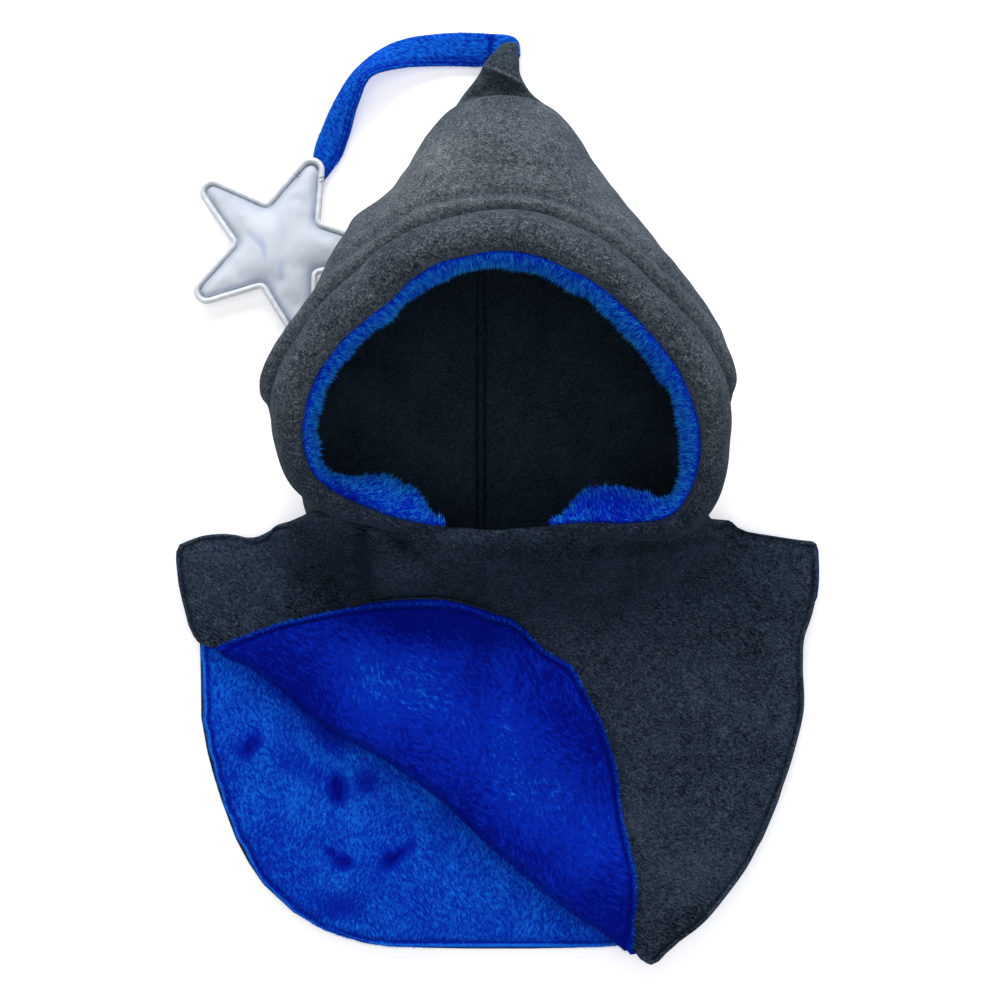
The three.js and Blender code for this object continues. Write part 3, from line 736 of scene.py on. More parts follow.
# The edge of the face opening, from the chin round the wearer's right, the forehead and the left
faceEdge = table(
    "at x y z band drop facing depth",
    (0, -26, -12.4, 58, 2.4, 3, 1.2, 2.5),
    (1.5, -32.5, -11.9, 58.2, 3.6, 4.6, 8.5, 9),
    (4, -44.4, -9.6, 59, 6, 8, 16, 15),
    (8, -60, -4.4, 61, 9, 15, 17.5, 18),
    (12, -75, 1.6, 66, 11, 18, 13, 19),
    (16, -86, 10.5, 74, 12, 21, 9.5, 20),
    (21, -91, 27, 86, 15, 23, 8.5, 21),
    (27, -87.5, 48, 97, 19, 22, 9, 22),
    (33, -74, 69.8, 104, 19.5, 20, 9, 22),
    (39, -55, 86.4, 107, 22, 20, 9, 22),
    (45, -31, 105, 110, 21, 20, 9, 22),
    (51, 1, 112, 112, 20.5, 20, 9, 22),
    (57, 32, 104.4, 111, 20.5, 20, 10.5, 22),
    (63, 56, 87.5, 109, 18.5, 20, 11, 22),
    (69, 76, 66.4, 105, 20, 20, 11.5, 22),
    (75, 89, 44, 97, 18, 22, 11, 22),
    (80, 92.4, 23, 86, 16, 23, 11, 21),
    (84, 90, 6, 75, 14.5, 21, 9.5, 20),
    (88, 80.5, -7, 67, 12, 18, 12, 19),
    (92, 63, -10.6, 61.5, 9, 15, 17.5, 18),
    (96, 43, -10.6, 59, 6.5, 8, 17, 15),
    (98.5, 30, -11.4, 58.2, 3.8, 4.6, 8.5, 9),
    (100, 23.5, -12, 58, 2.4, 3, 1.2, 2.5),
)


# Ridges and valleys of the hood's cloth behind the band's seam
hoodFolds = [
    {"behind": 0, "width": 2.4, "high": -2.8},
    {"behind": 4.6, "width": 2.2, "high": 1.5},
    {"behind": 9.0, "width": 2.0, "high": -0.9},
    {"behind": 13.5, "width": 3.4, "high": 0.7},
]


def faceFrames(count):
    at = np.linspace(0, 100, count)
    return rowAt(faceEdge, at), *sideways(faceEdge, at, 3)


def hoodPoints(y, angle):
    s = rowAt(hoodSections, y)
    upper = np.sin(angle) >= 0
    power = np.where(upper, 2 / hood["upper"], 2 / hood["lower"])
    across = np.sign(np.cos(angle)) * np.abs(np.cos(angle)) ** power
    up = np.sign(np.sin(angle)) * np.abs(np.sin(angle)) ** power
    reach = np.where(upper, s["top"] - s["widest"], s["widest"] - s["bottom"] + hood["sink"])
    x = (s["left"] + s["right"]) / 2 + (s["right"] - s["left"]) / 2 * across
    z = np.maximum(s["widest"] + reach * up, np.maximum(s["bottom"], 0))
    return np.stack([x, y - s["bow"] * across**2, z], -1)


def makeHood():
    ends = hoodSections["y"]
    y = np.linspace(ends[0], ends[-1], hood["rows"])[:, None]
    angle = np.linspace(0, 2 * math.pi, hood["around"], endpoint=False)[None]
    grid = hoodPoints(*np.broadcast_arrays(y, angle))
    normal = upward(gridNormals(grid, True), 40, 55)
    x, py, z = grid[..., 0], grid[..., 1], grid[..., 2]
    off = smoothBetween(2, 14, z)  # nothing moves where the cloth lies on the surface
    calm = 1 - 0.9 * smoothBetween(150, 188, py)
    push = hood["bigWaves"] * waves(x + z * 0.6, py, 62, 11) + hood["smallWaves"] * waves(x + z, py * 1.3, 17, 12)
    push = push * calm
    row, outX, outY = faceFrames(240)
    seam = np.stack([row["x"] + outX * row["band"], row["y"] + outY * row["band"]], 1)
    behind = distanceTo(x, py, seam)
    above = (z > through(hoodSections, "widest", py)) * smoothBetween(10, 50, py)
    for each in hoodFolds:
        push = push + above * each["high"] * bell(behind - each["behind"], each["width"])
    tipSide = py - np.interp(x, [p[0] for p in tipSeam], [p[1] for p in tipSeam])
    valley = smoothBetween(0.5, -2.5, tipSide) * smoothBetween(193, 197, py) * (z > 12)
    ridge = crease(x, py, tipSeam, 1.0) * smoothBetween(19, 23, z)
    push = push - hood["valley"] * valley * smoothBetween(18, 23, z) + hood["ridge"] * ridge
    push = push * off * smoothBetween(ends[0], ends[0] + 12, py)
    outer = grid + normal * push[..., None]
    inner = grid - normal * (hood["wall"] - push[..., None])
    inner[..., 2] = np.maximum(inner[..., 2], outer[..., 2].min() + hood["wall"])
    # rounded closing of the tip
    caps, innerCaps = [], []
    end, innerEnd = outer[-1].mean(0), inner[-1].mean(0)
    for share in (0.35, 0.65, 0.88, 1.0):
        size = math.sqrt(max(1 - share**2, 0))
        caps.append(end + (outer[-1] - end) * size + np.array([1.8 * share, (hood["tip"] - ends[-1]) * share, 0]))
        innerCaps.append(innerEnd + (inner[-1] - innerEnd) * size)
    outer, inner = np.concatenate([outer, caps]), np.concatenate([inner, innerCaps])
    mouth = np.stack([row[k] + out * row["band"] * hood["under"] for k, out in (("x", outX), ("y", outY))], 1)
    mouth = np.concatenate([mouth, [[mouth[-1, 0], -40], [mouth[0, 0], -40]]])
    keep = ~(insideOf(outer[..., 0], outer[..., 1], mouth) & (outer[..., 2] > 42)).ravel()
    piece = makeWall("hoodShell", outer, inner, hoodFleece, True, keep, insideShadedFleece)
    # painted shade in the crease at the band's seam and in the valley behind it
    edge = bell(behind, 2.2) + 0.45 * bell(behind - 9.5, 2.0)
    keepValues(piece, "fold", grid[above > 0.01], (edge * above)[above > 0.01])
    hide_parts("hood_shell")


makeHood()
print("hood made")

backSeam = {"x": -9.5, "half": 1.9, "high": 0.8, "from": -11, "to": 165, "steps": 120}


# The centre-back seam's allowance, which shows inside as a narrow strip with two edges
def makeBackSeam():
    y = np.linspace(backSeam["from"], backSeam["to"], backSeam["steps"])
    sway = 0.7 * waves(y, 0 * y, 60, 21)
    across = np.array([-1.15, -1, -0.75, -0.2, 0, 0.2, 0.75, 1, 1.15])
    height = np.array([0, 0.75, 1, 0.8, 0.45, 0.8, 1, 0.75, 0])
    floor = hood["wall"] + through(hoodSections, "bottom", y)
    x = backSeam["x"] * smoothBetween(200, 80, y)[:, None] + sway[:, None] + backSeam["half"] * across[None]
    z = floor[:, None] + 0.05 + backSeam["high"] * height[None]
    top = np.stack([x, np.broadcast_to(y[:, None], x.shape), z], -1)
    low = top.copy()
    low[..., 2] = floor[:, None] - 0.4
    makeWall("backSeam", top, low, insideShadedFleece)


makeBackSeam()

neckSeam = {"half": 94, "from": -7.5, "to": -23, "rows": 26, "columns": 120, "wall": 1, "side": 9}


# The seam allowance at the nape, which lies over the yoke's lining
def makeNeckSeam():
    x = np.linspace(-neckSeam["half"], neckSeam["half"], neckSeam["columns"])[None]
    y = np.linspace(neckSeam["from"], neckSeam["to"], neckSeam["rows"])[:, None]
    x, y = np.broadcast_arrays(x, y)
    sides = neckSeam["side"] * smoothBetween(0.62, 1, np.abs(x) / neckSeam["half"])
    low = 3.5 + 2.4 * smoothBetween(-8.5, -12, y) + sides + 0.25 * (waves(x, y, 26, 22) + 1)
    grid = np.stack([x, y, low], -1)
    makeWall("neckSeam", grid + (0, 0, neckSeam["wall"]), grid, insideShadedFleece)


makeNeckSeam()

band = {
    "stations": 420, "steps": 26, "crest": 3, "crestAt": 0.7, "tuck": 4, "wall": 2.5, "waves": 0.45,
    "length": 520,
}


def makeBand():
    row, outX, outY = faceFrames(band["stations"])
    turn = np.linspace(math.pi, 0, band["steps"])[None]
    wide, drop = row["band"][:, None], row["drop"][:, None]
    crestAt = wide * band["crestAt"]
    crest = np.minimum(band["crest"], wide / 4)
    tuck = np.minimum(band["tuck"], drop)
    outer = np.cos(turn) < 0
    w = crestAt + np.where(outer, crestAt, wide - crestAt) * np.cos(turn)
    fall = np.where(outer, crest + drop, crest + tuck)
    height = crest - fall * (1 - np.sin(turn))
    # w grows inwards, from the band's seam to the opening's edge
    x = row["x"][:, None] + outX[:, None] * (wide - w)
    y = row["y"][:, None] + outY[:, None] * (wide - w)
    grid = np.stack([x, y, row["z"][:, None] + height], -1)
    normal = upward(gridNormals(grid), band["stations"] // 2, band["steps"] // 2)
    at = np.linspace(0, 1, band["stations"])[:, None] * band["length"]
    full = smoothBetween(3, 12, wide)
    push = full * band["waves"] * (waves(at, w * 2, 46, 31) + 0.35 * waves(at, w * 3, 14, 32))
    outerGrid = grid + normal * push[..., None]
    wall = np.minimum(band["wall"], 0.35 * wide)[..., None]
    piece = makeWall("faceBand", outerGrid, outerGrid - normal * wall, bandFleece)
    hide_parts("face_band")


makeBand()
print("band made")

facing = {"stations": 420, "steps": 22, "wall": 3, "tuck": 0.6, "waves": 0.7, "back": 5.4}
facingPile = {
    "perSquare": 2.3, "length": 3.2, "width": 0.42, "lean": 0.5, "stray": 0.22, "swirlSize": 30, "seed": 41,
    "clump": 3, "paintedHighlight": 0.8, "pale": 0.06,
}


# The right-hand lobe is darker, and painted shade lies in the left one's fold by the band
def facingShade(look, place):
    right = look.spot(place, 52, -2, 20, 8, -0.1, 0.7) * -0.2
    left = look.spot(place, -72, 2.5, 12, 3.5, -0.5, 0.8) * -0.2
    return right + left


# painted light: the facing's plush is a brighter copy (lift), standing in for light on its steep, shaded sides
facingPlush = makePlush(
    "facingPlush", grain=430, patchSize=90, contrast=0.6, shade=facingShade, lift=1.6, pale=0.04
)
facingStrands = makePlush(
    "facingStrands", patchSize=110, contrast=0.6, shade=facingShade, strands=True, lift=1.95, pale=0.07
)


def makeFacing():
    row, outX, outY = faceFrames(facing["stations"])
    tuck = np.minimum(band["tuck"], row["drop"]) + facing["tuck"]
    thin = np.minimum(1, row["facing"] / (2 * facing["wall"]))
    at = np.linspace(0, 1, facing["stations"]) * band["length"]
    turn = np.linspace(0, math.pi / 2, facing["steps"])[None]
    depth = (row["depth"] - tuck)[:, None]

    def line(offset):
        back = facing["back"] * smoothBetween(3, 8, row["facing"])
        back = back * (1 - 0.55 * smoothBetween(11, 16, row["facing"]))
        width = np.maximum(row["facing"] - back - offset * thin, 0.4)[:, None]
        inward = width * np.sin(turn)
        inward = inward + facing["waves"] * waves(at[:, None], turn * 12, 19, 42) * np.sin(turn) * thin[:, None]
        z = (row["z"] - tuck - offset * thin * 0.5)[:, None] - depth * (1 - np.cos(turn))
        x = row["x"][:, None] - outX[:, None] * inward
        y = row["y"][:, None] - outY[:, None] * inward
        return np.stack([x, y, z], -1)

    piece = makeWall("faceLining", line(0), line(facing["wall"]), facingPlush)
    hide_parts("face_lining")

    # the pile points inwards and down, away from the band
    def inwards(p):
        return unit(np.array([0, 45, 0]) - p * (1, 1, 0)) + (0, 0, 0.1)

    def shown(centre, n):
        return ((n[:, 2] > -0.2) & ((np.abs(centre[:, 0] + 1.5) > 25) | (centre[:, 1] > 30))) * 1.0

    pile = makePile("faceLiningPile", piece, facingPile, facingStrands, shown, inwards)


makeFacing()
print("facing made")


yoke = {
    "neckHalf": 97,
    "neckY": -12.5,
    "shoulderHalf": 157.5,
    "shoulderY": -20.5,
    "hemY": -105,
    "backBottom": -224,
    "fleece": 2,
    "plush": 3,
    "gap": 0.3,
    "pinch": 1.3,
    "groove": 1.3,
    "grooveWidth": 0.9,
    "stitchIn": 2.7,
    "neckTurn": 3.6,
}
lyingFront = yoke["fleece"] + yoke["plush"] + 2 * yoke["gap"]
layers = yoke["fleece"] + yoke["plush"] + yoke["gap"]

chin = {"height": 51.5, "half": 114, "fullness": 0.62, "fall": 62, "sideFall": 38, "swell": 3, "climb": 1.15}

# The front's upper edge, from its right-hand shoulder as seen to its left-hand one
topEdge = table(
    "x y",
    (-156.6, -20.8),
    (-151.6, -18.8),
    (-140.2, -16.8),
    (-131.3, -17.3),
    (-124.4, -18.7),
    (-120.5, -18.1),
    (-113, -14.4),
    (-103, -10.4),
    (-98, -8.2),
    (-92, -5.6),
    (-86, -4.6),
    (-80, -4.8),
    (-70, -7.6),
    (-60, -11.2),
    (-42, -12.3),
    (-30, -12.2),
    (-16, -13.3),
    (-4, -14.3),
    (8, -13.4),
    (20, -12.0),
    (32, -12.3),
    (45, -12.7),
    (60, -12.2),
    (70, -10.2),
    (80, -6.8),
    (87, -5.2),
    (93, -5.2),
    (98, -6.8),
    (104, -9.0),
    (110, -11.2),
    (118.4, -14.4),
    (132.3, -17.3),
    (149.2, -19.8),
    (156.5, -20.5),
)
leftSide = [
    (-141.3, -69.7), (-146.2, -71.6), (-150.8, -69.6), (-154.2, -63), (-156.9, -52), (-159.6, -41),
    (-160.8, -30), (-160.6, -24.6), (-158.9, -21.6),
]
rightSide = [(69.6, -224.6), (71.6, -229.4), (75.3, -230.6), (79, -228.8), (82.3, -225)]

fold = {"x": -137, "y": -68.6, "alongX": 0.807, "alongY": -0.59, "reach": 45, "blend": 50}

# Along the fold: how far it strays from a straight line, and how tight it is
foldLine = table(
    "along stray radius",
    (-12, 0, 3.2),
    (-3, 0, 3.6),
    (2, 0.4, 4.4),
    (12, 1.6, 5.8),
    (26, 3.4, 6.3),
    (38, 3.2, 6.5),
    (54, 1.7, 6.8),
    (78, 3.7, 7.3),
    (104, 7.1, 7.8),
    (122, 7.6, 8),
    (140, 7.2, 8),
    (164, 3.1, 7.6),
    (188, 1, 7.1),
    (219, -1.2, 6.5),
    (240, -0.6, 5.6),
    (252, 0, 4.4),
    (262, 0, 3.6),
)

flapHem = table(
    "out start stop",
    (0, 1, 254),
    (10, 9, 246),
    (20, 17, 239),
    (30, 25, 230),
    (40, 33, 218),
    (50, 42, 207),
    (60, 53, 198),
    (70, 65, 186),
    (80, 79, 170),
    (87, 97, 155),
    (90.5, 110, 146),
)

# Soft creases of the front where it climbs to the chin
neckCreases = [
    {"line": [(-68, -21), (-67, -28), (-64, -43)], "width": 4.2, "deep": -3.6},
    {"line": [(-57, -14), (-52, -24), (-46, -34)], "width": 6.5, "deep": 3.4},
    {"line": [(-38, -15), (-32, -21), (-27, -24)], "width": 3.4, "deep": -2.6},
    {"line": [(48, -15), (42, -24), (34, -34)], "width": 3.6, "deep": -2.6},
    {"line": [(60, -18), (54, -28), (48, -38)], "width": 5.0, "deep": 1.6},
    {"line": [(-98, -38), (-60, -47), (0, -42)], "width": 6.0, "deep": -1.8},
    {"line": [(-122, -16), (-112, -27), (-98, -38)], "width": 4.5, "deep": -2.0},
]


# Half the width of each yoke down its side; the front's is wider because its hem hangs lower
frontSide = table(
    "down half",
    (20.5, 157.5), (44, 157.4), (58.6, 154.4), (68, 151.2), (81, 150.3), (104.7, 150.8), (122, 146.8),
    (136, 142.7), (152.4, 136.2), (168.8, 129.2), (180.7, 123.2), (197, 111.5), (211, 99.3), (221.4, 86.4),
    (226, 82),
)
backSide = table(
    "down half",
    (20.5, 157.5), (44, 157.0), (58.6, 153.4), (72, 149.8), (90, 149.4), (108.6, 149.2), (125, 146.3),
    (136.5, 143.3), (149.4, 139.3), (169.2, 131.9), (181.2, 125.5), (192.1, 118), (206, 103), (215, 87.6),
    (221, 67.7), (223.4, 44.8), (224, 14), (224.05, 0.4),
)


def foldPlace(x, y):
    dx, dy = x - fold["x"], y - fold["y"]
    return dx * fold["alongX"] + dy * fold["alongY"], dy * fold["alongX"] - dx * fold["alongY"]


def foldX(t, e):
    return fold["x"] + fold["alongX"] * t - fold["alongY"] * e


def foldY(t, e):
    return fold["y"] + fold["alongY"] * t + fold["alongX"] * e


def frontTop(x):
    return through(topEdge, "y", x)


def frontHeight(x, y):
    side = np.clip(np.abs(x) / chin["half"], 0, 1)
    rise = (chin["height"] - lyingFront) * np.maximum(np.cos(math.pi / 2 * side), 0) ** chin["fullness"]
    rise = rise * (1 - smoothBetween(0.85, 1, side))
    fall = mix(chin["fall"], chin["sideFall"], side * side * (3 - 2 * side))
    down = smoothBetween(0, 1, np.maximum(frontTop(x) - y, 0) / fall)
    climb = chin["climb"] * np.maximum(y + 13, 0) * smoothBetween(108, 96, np.abs(x))
    flat = smoothBetween(yoke["hemY"] * 2.2, yoke["hemY"], y) * (1 - np.abs(x) / yoke["shoulderHalf"])
    return lyingFront + rise * (1 - down) + climb + chin["swell"] * np.maximum(flat, 0) * down


# The front's edges from the two ends of the fold up to its right-hand shoulder
topLine = [(x, float(frontTop(x))) for x in np.linspace(topEdge["x"][0], topEdge["x"][-1], 160)]
sideLine = [(float(through(frontSide, "half", d)), -d) for d in np.arange(222, 20, -2.0)]
leftEdge = np.array(leftSide + topLine)
rightEdge = np.array(rightSide + sideLine + [topLine[-1]])


# Where a row of the front starts or ends: rows near the fold fan out round its two corners
class RowEnds:
    def __init__(self, line):
        self.t, self.e = foldPlace(line[:, 0], line[:, 1])
        self.far = np.concatenate([[0], np.cumsum(np.hypot(np.diff(self.t), np.diff(self.e)))])
        beyond = np.argmax(self.e > fold["reach"])
        share = (fold["reach"] - self.e[beyond - 1]) / (self.e[beyond] - self.e[beyond - 1])
        self.reach = mix(self.far[beyond - 1], self.far[beyond], share)
        self.beyond = beyond - 1

    def at(self, e):
        if e < fold["reach"]:
            s = self.reach * e / fold["reach"]
            return np.interp(s, self.far, self.t), np.interp(s, self.far, self.e)
        return np.interp(e, self.e[self.beyond :], self.t[self.beyond :]), e


leftEnds, rightEnds = RowEnds(leftEdge), RowEnds(rightEdge)
farthest = float(leftEnds.e[-1]) - 0.05


# A row's points in the cloth's own plan; trim keeps the lining inside the fleece
def rowPlan(e, trim=0.0):
    (low, lowE), (high, highE) = leftEnds.at(e), rightEnds.at(e)
    start, stop = low, high
    if trim:
        share = float(smoothBetween(0, 12, e))
        long = high - low
        atTop = float(smoothBetween(fold["reach"] - 8, fold["reach"], e))
        start = low + min(share * mix(1.2 * trim, 1.7 * yoke["neckTurn"], atTop), 0.3 * long)
        side = foldY(high, highE)
        outside = float(smoothBetween(-54, -48, side) * smoothBetween(-21, -24, side))
        stop = high - min(share * mix(1.2 * trim, -0.9, outside), 0.3 * long)
    t = start + spread(front["columns"], stop - start)
    span = mix(25, 60, min(e / fold["reach"], 1))
    bent = e + (lowE - e) * (1 - smoothBetween(0, span, t - low))
    bent = bent + (highE - e) * (1 - smoothBetween(0, span, high - t))
    return t, bent + through(foldLine, "stray", t) * (1 - smoothBetween(0, fold["blend"], e))


def steepness(x, y):
    step = 4
    dx = (frontHeight(x + step, y) - frontHeight(x - step, y)) / (2 * step)
    dy = (frontHeight(x, y + step) - frontHeight(x, y - step)) / (2 * step)
    return np.sqrt(1 + dx**2 + dy**2)


front = {"lying": 112, "turn": 14, "flap": 54, "columns": 122, "waves": 0.35, "hemWaves": 0.8}


def foldRow(t):
    row, bent = rowPlan(0)
    return np.interp(t, row, bent)


def flapPoint(t, e):
    end = flapHem["out"][-1]
    e = np.broadcast_to(e, np.shape(t)) + 0.0
    place = e + foldRow(t) * (1 - smoothBetween(0, fold["blend"], e))
    x, y = foldX(t, place), foldY(t, place)
    rest = (2 * layers + 3 * yoke["gap"]) * steepness(x, y)
    over = mix(2 * through(foldLine, "radius", t), rest, smoothBetween(0, 0.45 * end, e))
    swell = 0.9 * (waves(x, y, 62, 51) + 0.9) * smoothBetween(0, 20, e) * smoothBetween(end, end - 25, e)
    near = front["hemWaves"] * waves(t, e, 30, 53) * smoothBetween(0.55 * end, end, e)
    return np.stack([x + near * 0.59, y + near * 0.81, frontHeight(x, y) + over + np.maximum(swell, -0.4)], -1)


def lyingPoint(t, e):
    x, y = foldX(t, e), foldY(t, e)
    folds = sum(c["deep"] * crease(x, y, c["line"], c["width"]) for c in neckCreases)
    lift = smoothBetween(0, 9, frontTop(x) - y)
    ripple = front["waves"] * (waves(x, y, 42, 52) + 0.8) * smoothBetween(0, 8, e)
    height = frontHeight(x, y) + folds * lift + np.maximum(ripple, 0)
    return np.stack([x, y, np.maximum(height, lyingFront)], -1)


# The underside of the front, as it lies, turns at the fold and comes back over itself
def frontGrid(trim=0.0):
    rows, flat = [], []
    for e in farthest - spread(front["lying"], farthest):
        t, bent = rowPlan(min(max(e, 0), farthest - 0.4), trim)
        rows.append(lyingPoint(t, bent))
        flat.append(np.stack([t, bent], 1))
    low0, high0 = leftEnds.at(0)[0], rightEnds.at(0)[0]
    for i in range(1, front["turn"] + 1):
        share = i / front["turn"]
        q = math.pi * share
        low, high = mix(low0, flapHem["start"][0], share), mix(high0, flapHem["stop"][0], share)
        t = low + spread(front["columns"], high - low)
        r, bent = through(foldLine, "radius", t), foldRow(t)
        x, y = foldX(t, bent), foldY(t, bent)
        out = -r * math.sin(q)
        rows.append(np.stack([x + out * 0.59, y + out * 0.807, frontHeight(x, y) + r * (1 - math.cos(q))], 1))
        flat.append(np.stack([t, bent - r * q], 1))
    end = flapHem["out"][-1]
    for e in spread(2 * front["flap"], 2 * end)[front["flap"] :] - end:
        low, high = through(flapHem, "start", e), through(flapHem, "stop", e)
        t = low + spread(front["columns"], high - low)
        rows.append(flapPoint(t, e))
        flat.append(np.stack([t, -math.pi * through(foldLine, "radius", t) - e], 1))
    return np.array(rows), np.array(flat)


def edgeDistance(flat, neck=None):
    rim = np.concatenate([flat[:, 0], flat[-1], flat[::-1, -1], flat[0][::-1]])
    if neck is not None:
        rim = rim[~neck(rim)]
    best = np.full(flat.shape[:2], 1e9)
    for k in range(0, len(rim), 64):
        part = rim[k : k + 64]
        gap = np.hypot(flat[..., None, 0] - part[:, 0], flat[..., None, 1] - part[:, 1]).min(-1)
        best = np.minimum(best, gap)
    return best


# Painted shade in the stitched groove along a hem, less a painted highlight on the rolled edge
def hemShadeAndHighlight(edge):
    return bell(edge - yoke["stitchIn"], 0.75) - 0.8 * bell(edge - 0.9, 0.9)


def hemShape(edge):
    pinch = yoke["pinch"] * np.clip(1 - edge / 2.2, 0, 1) ** 2
    return pinch + yoke["groove"] * bell(edge - yoke["stitchIn"], yoke["grooveWidth"])


# painted light over the flap's crest and painted shade at its top and right side
flapPaintedLightAndShade = [
    (-20, -120, 72, 21, -0.66, 0.17),
    (-72, -80, 26, 12, -0.3, 0.03),
    (-30, -60, 62, 11, -0.02, -0.16),
    (40, -108, 44, 15, -1.0, -0.14),
]


def flapShade(look, place):
    # painted shade along the fold and near the neck, painted light over the flap's middle
    outX, outY = -fold["alongY"], fold["alongX"]
    out = (look.along(place, (outX, outY, 0)) - (fold["x"] * outX + fold["y"] * outY) * mm) * (1 / mm)
    tone = look.between(out, -4, 34, -0.13, 0)
    for x, y, long, short, turn, lighter in flapPaintedLightAndShade:
        tone = tone + look.spot(place, x, y, long, short, turn, 0.9) * lighter
    return tone - 0.14


flapPlush = makePlush("flapPlush", 0.9, 680, 26, 0.75, shade=flapShade, lift=1.2)
flapStrands = makePlush("flapStrands", patchSize=26, contrast=0.75, shade=flapShade, strands=True, lift=1.2)
flapPile = {
    "perSquare": 1.3, "length": 1.6, "width": 0.42, "lean": 0.74, "stray": 0.2, "swirlSize": 38, "seed": 61,
    "clump": 3.4, "paintedHighlight": 0.35, "pale": 0.12,
}


hemFringe = {
    "perLength": 5, "length": 1.5, "width": 0.3, "lean": 0.62, "stray": 0.3, "swirlSize": 30, "seed": 63,
    "clump": 3, "pale": 0.3,
}
flapMiddle = np.array([130, 20])


# A line moved sideways by a distance, towards a point
def movedIn(line, distance, towards):
    line = np.asarray(line, float)
    way = np.gradient(line, axis=0)
    side = np.stack([-way[:, 1], way[:, 0]], 1) / np.maximum(np.hypot(*way.T), 1e-9)[:, None]
    side *= np.sign(((towards - line) * side).sum(1))[:, None]
    return line + side * distance


# The hem of the turned-up corner, in the cloth's own plan
def flapHemLine(least=0.0):
    end = flapHem["out"][-1]
    out = np.linspace(least, end, 70)
    left = np.stack([through(flapHem, "start", out), out], 1)
    right = np.stack([through(flapHem, "stop", out), out], 1)
    across = [(mix(left[-1, 0], right[-1, 0], s), end) for s in (0.2, 0.4, 0.6, 0.8)]
    return np.concatenate([left, across, right[::-1]])


def makeFront():
    base, flat = frontGrid()
    under, underFlat = frontGrid(1.0)

    def atNeck(rim):
        x, y = foldX(rim[:, 0], rim[:, 1]), foldY(rim[:, 0], rim[:, 1])
        return (rim[:, 1] > 0) & (np.abs(x) < yoke["neckHalf"] + 4) & (y > -20)

    sample = (20, front["columns"] // 2)
    normal = upward(gridNormals(base), *sample)
    shaped = hemShape(edgeDistance(flat, atNeck))
    below = np.clip(frontTop(base[..., 0]) - base[..., 1], 0, 50)
    lyingRows = np.arange(len(base))[:, None] < front["lying"] - 2
    turned = (1 - smoothBetween(0.7 * yoke["neckTurn"], yoke["neckTurn"], below)) * lyingRows
    over = base + normal * mix(yoke["plush"] + yoke["gap"], 0.6, turned)[..., None]
    rounded = 0.8 * (1 - np.clip(below / 2.2, 0, 1)) ** 2 * lyingRows
    top = base + normal * (layers - np.minimum(shaped, 1.7) - rounded)[..., None]
    panel = makeWall("frontPanel", top, over, yokeFleece)
    keepValues(panel, "fold", top.reshape(-1, 3), hemShadeAndHighlight(edgeDistance(flat, atNeck)).ravel())
    normal = upward(gridNormals(under), *sample)
    edge = edgeDistance(underFlat, atNeck)
    shaped = hemShape(edge)
    face = under + normal * shaped[..., None]
    lining = makeWall("frontLining", under + normal * yoke["plush"], face, flapPlush)
    keepValues(lining, "fold", face.reshape(-1, 3), hemShadeAndHighlight(edge).ravel())
    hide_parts("front_panel")
    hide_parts("front_lining")

    # only the turned-up corner shows its plush
    def shown(centre, n):
        out = foldPlace(centre[:, 0], centre[:, 1])[1]
        over = centre[:, 2] - frontHeight(centre[:, 0], centre[:, 1])
        return ((n[:, 2] > 0.05) & ((over > layers + 3) | (out < 12)) & (centre[:, 2] > 10) & (out > -10)) * 1.0

    def alongFold(p):
        return p * 0 + (0.5, -0.8, 0)

    pile = makePile("flapPile", lining, flapPile, flapStrands, shown, alongFold)
    hem = flapHemLine(0.5)
    edgeLine, inner = flapPoint(*hem.T), flapPoint(*movedIn(hem, 3, flapMiddle).T)
    fringe = makeFringe("flapFringe", edgeLine, unit(edgeLine - inner), hemFringe, flapStrands)


makeFront()
print("front yoke made")

back = {"rows": 104, "columns": 102, "border": 1.3}
backPlush = makePlush("backPlush", 1.5, 1000, 34, 0.45, napMarksAndFoldShadow, lift=1.1, pale=0.11)
backStrands = makePlush("backStrands", 1.5, 760, 34, 0.45, napMarksAndFoldShadow, strands=True, lift=1.1, pale=0.08)
backFringe = {
    "perLength": 4, "length": 1.1, "width": 0.28, "lean": 0.6, "stray": 0.3, "swirlSize": 30, "seed": 73,
    "clump": 3, "pale": 0.15,
}
backPile = {
    "perSquare": 2.2, "length": 1.15, "width": 0.34, "lean": 0.76, "stray": 0.18, "swirlSize": 50, "seed": 71,
    "clump": 3, "paintedHighlight": 0.4, "pale": 0.2,
}


def backGrid(inset):
    bottom = yoke["backBottom"] + inset
    top = yoke["neckY"]
    halves, heights = [yoke["neckHalf"], yoke["shoulderHalf"]], [yoke["neckY"], yoke["shoulderY"]]
    down = spread(back["rows"], top - bottom, (0, 0.05, 0.2, 0.5, 0.9, 1.5, 2.4, 3.8, 6, 9))
    rows = []
    for y in top - down:
        y = min(max(y, bottom), top)
        wide = np.interp(-y, backSide["down"], backSide["half"]) - inset
        if y > yoke["shoulderY"]:
            wide = np.interp(y, heights[::-1], halves[::-1])
        wide = max(wide, 0.05)
        x = spread(back["columns"], 2 * wide) - wide
        x = x + inset * 0.35 * waves(x, y + 0 * x, 9, 74) * smoothBetween(0.9 * wide, wide, np.abs(x))
        # the shoulders stay just below the front's upper edge
        shoulder = np.interp(np.abs(x), halves, heights)
        lower = np.maximum(shoulder - frontTop(x) + 2, 0) * (np.abs(x) > yoke["neckHalf"])
        lower = lower * smoothBetween(-60, -16, y)
        # on the front's open side the back keeps just inside it
        slim = 1 - 0.012 * (x > 0) * smoothBetween(-150, -190, y)
        rows.append(np.stack([x * slim, y - lower, np.zeros_like(x)], 1))
    return np.array(rows)


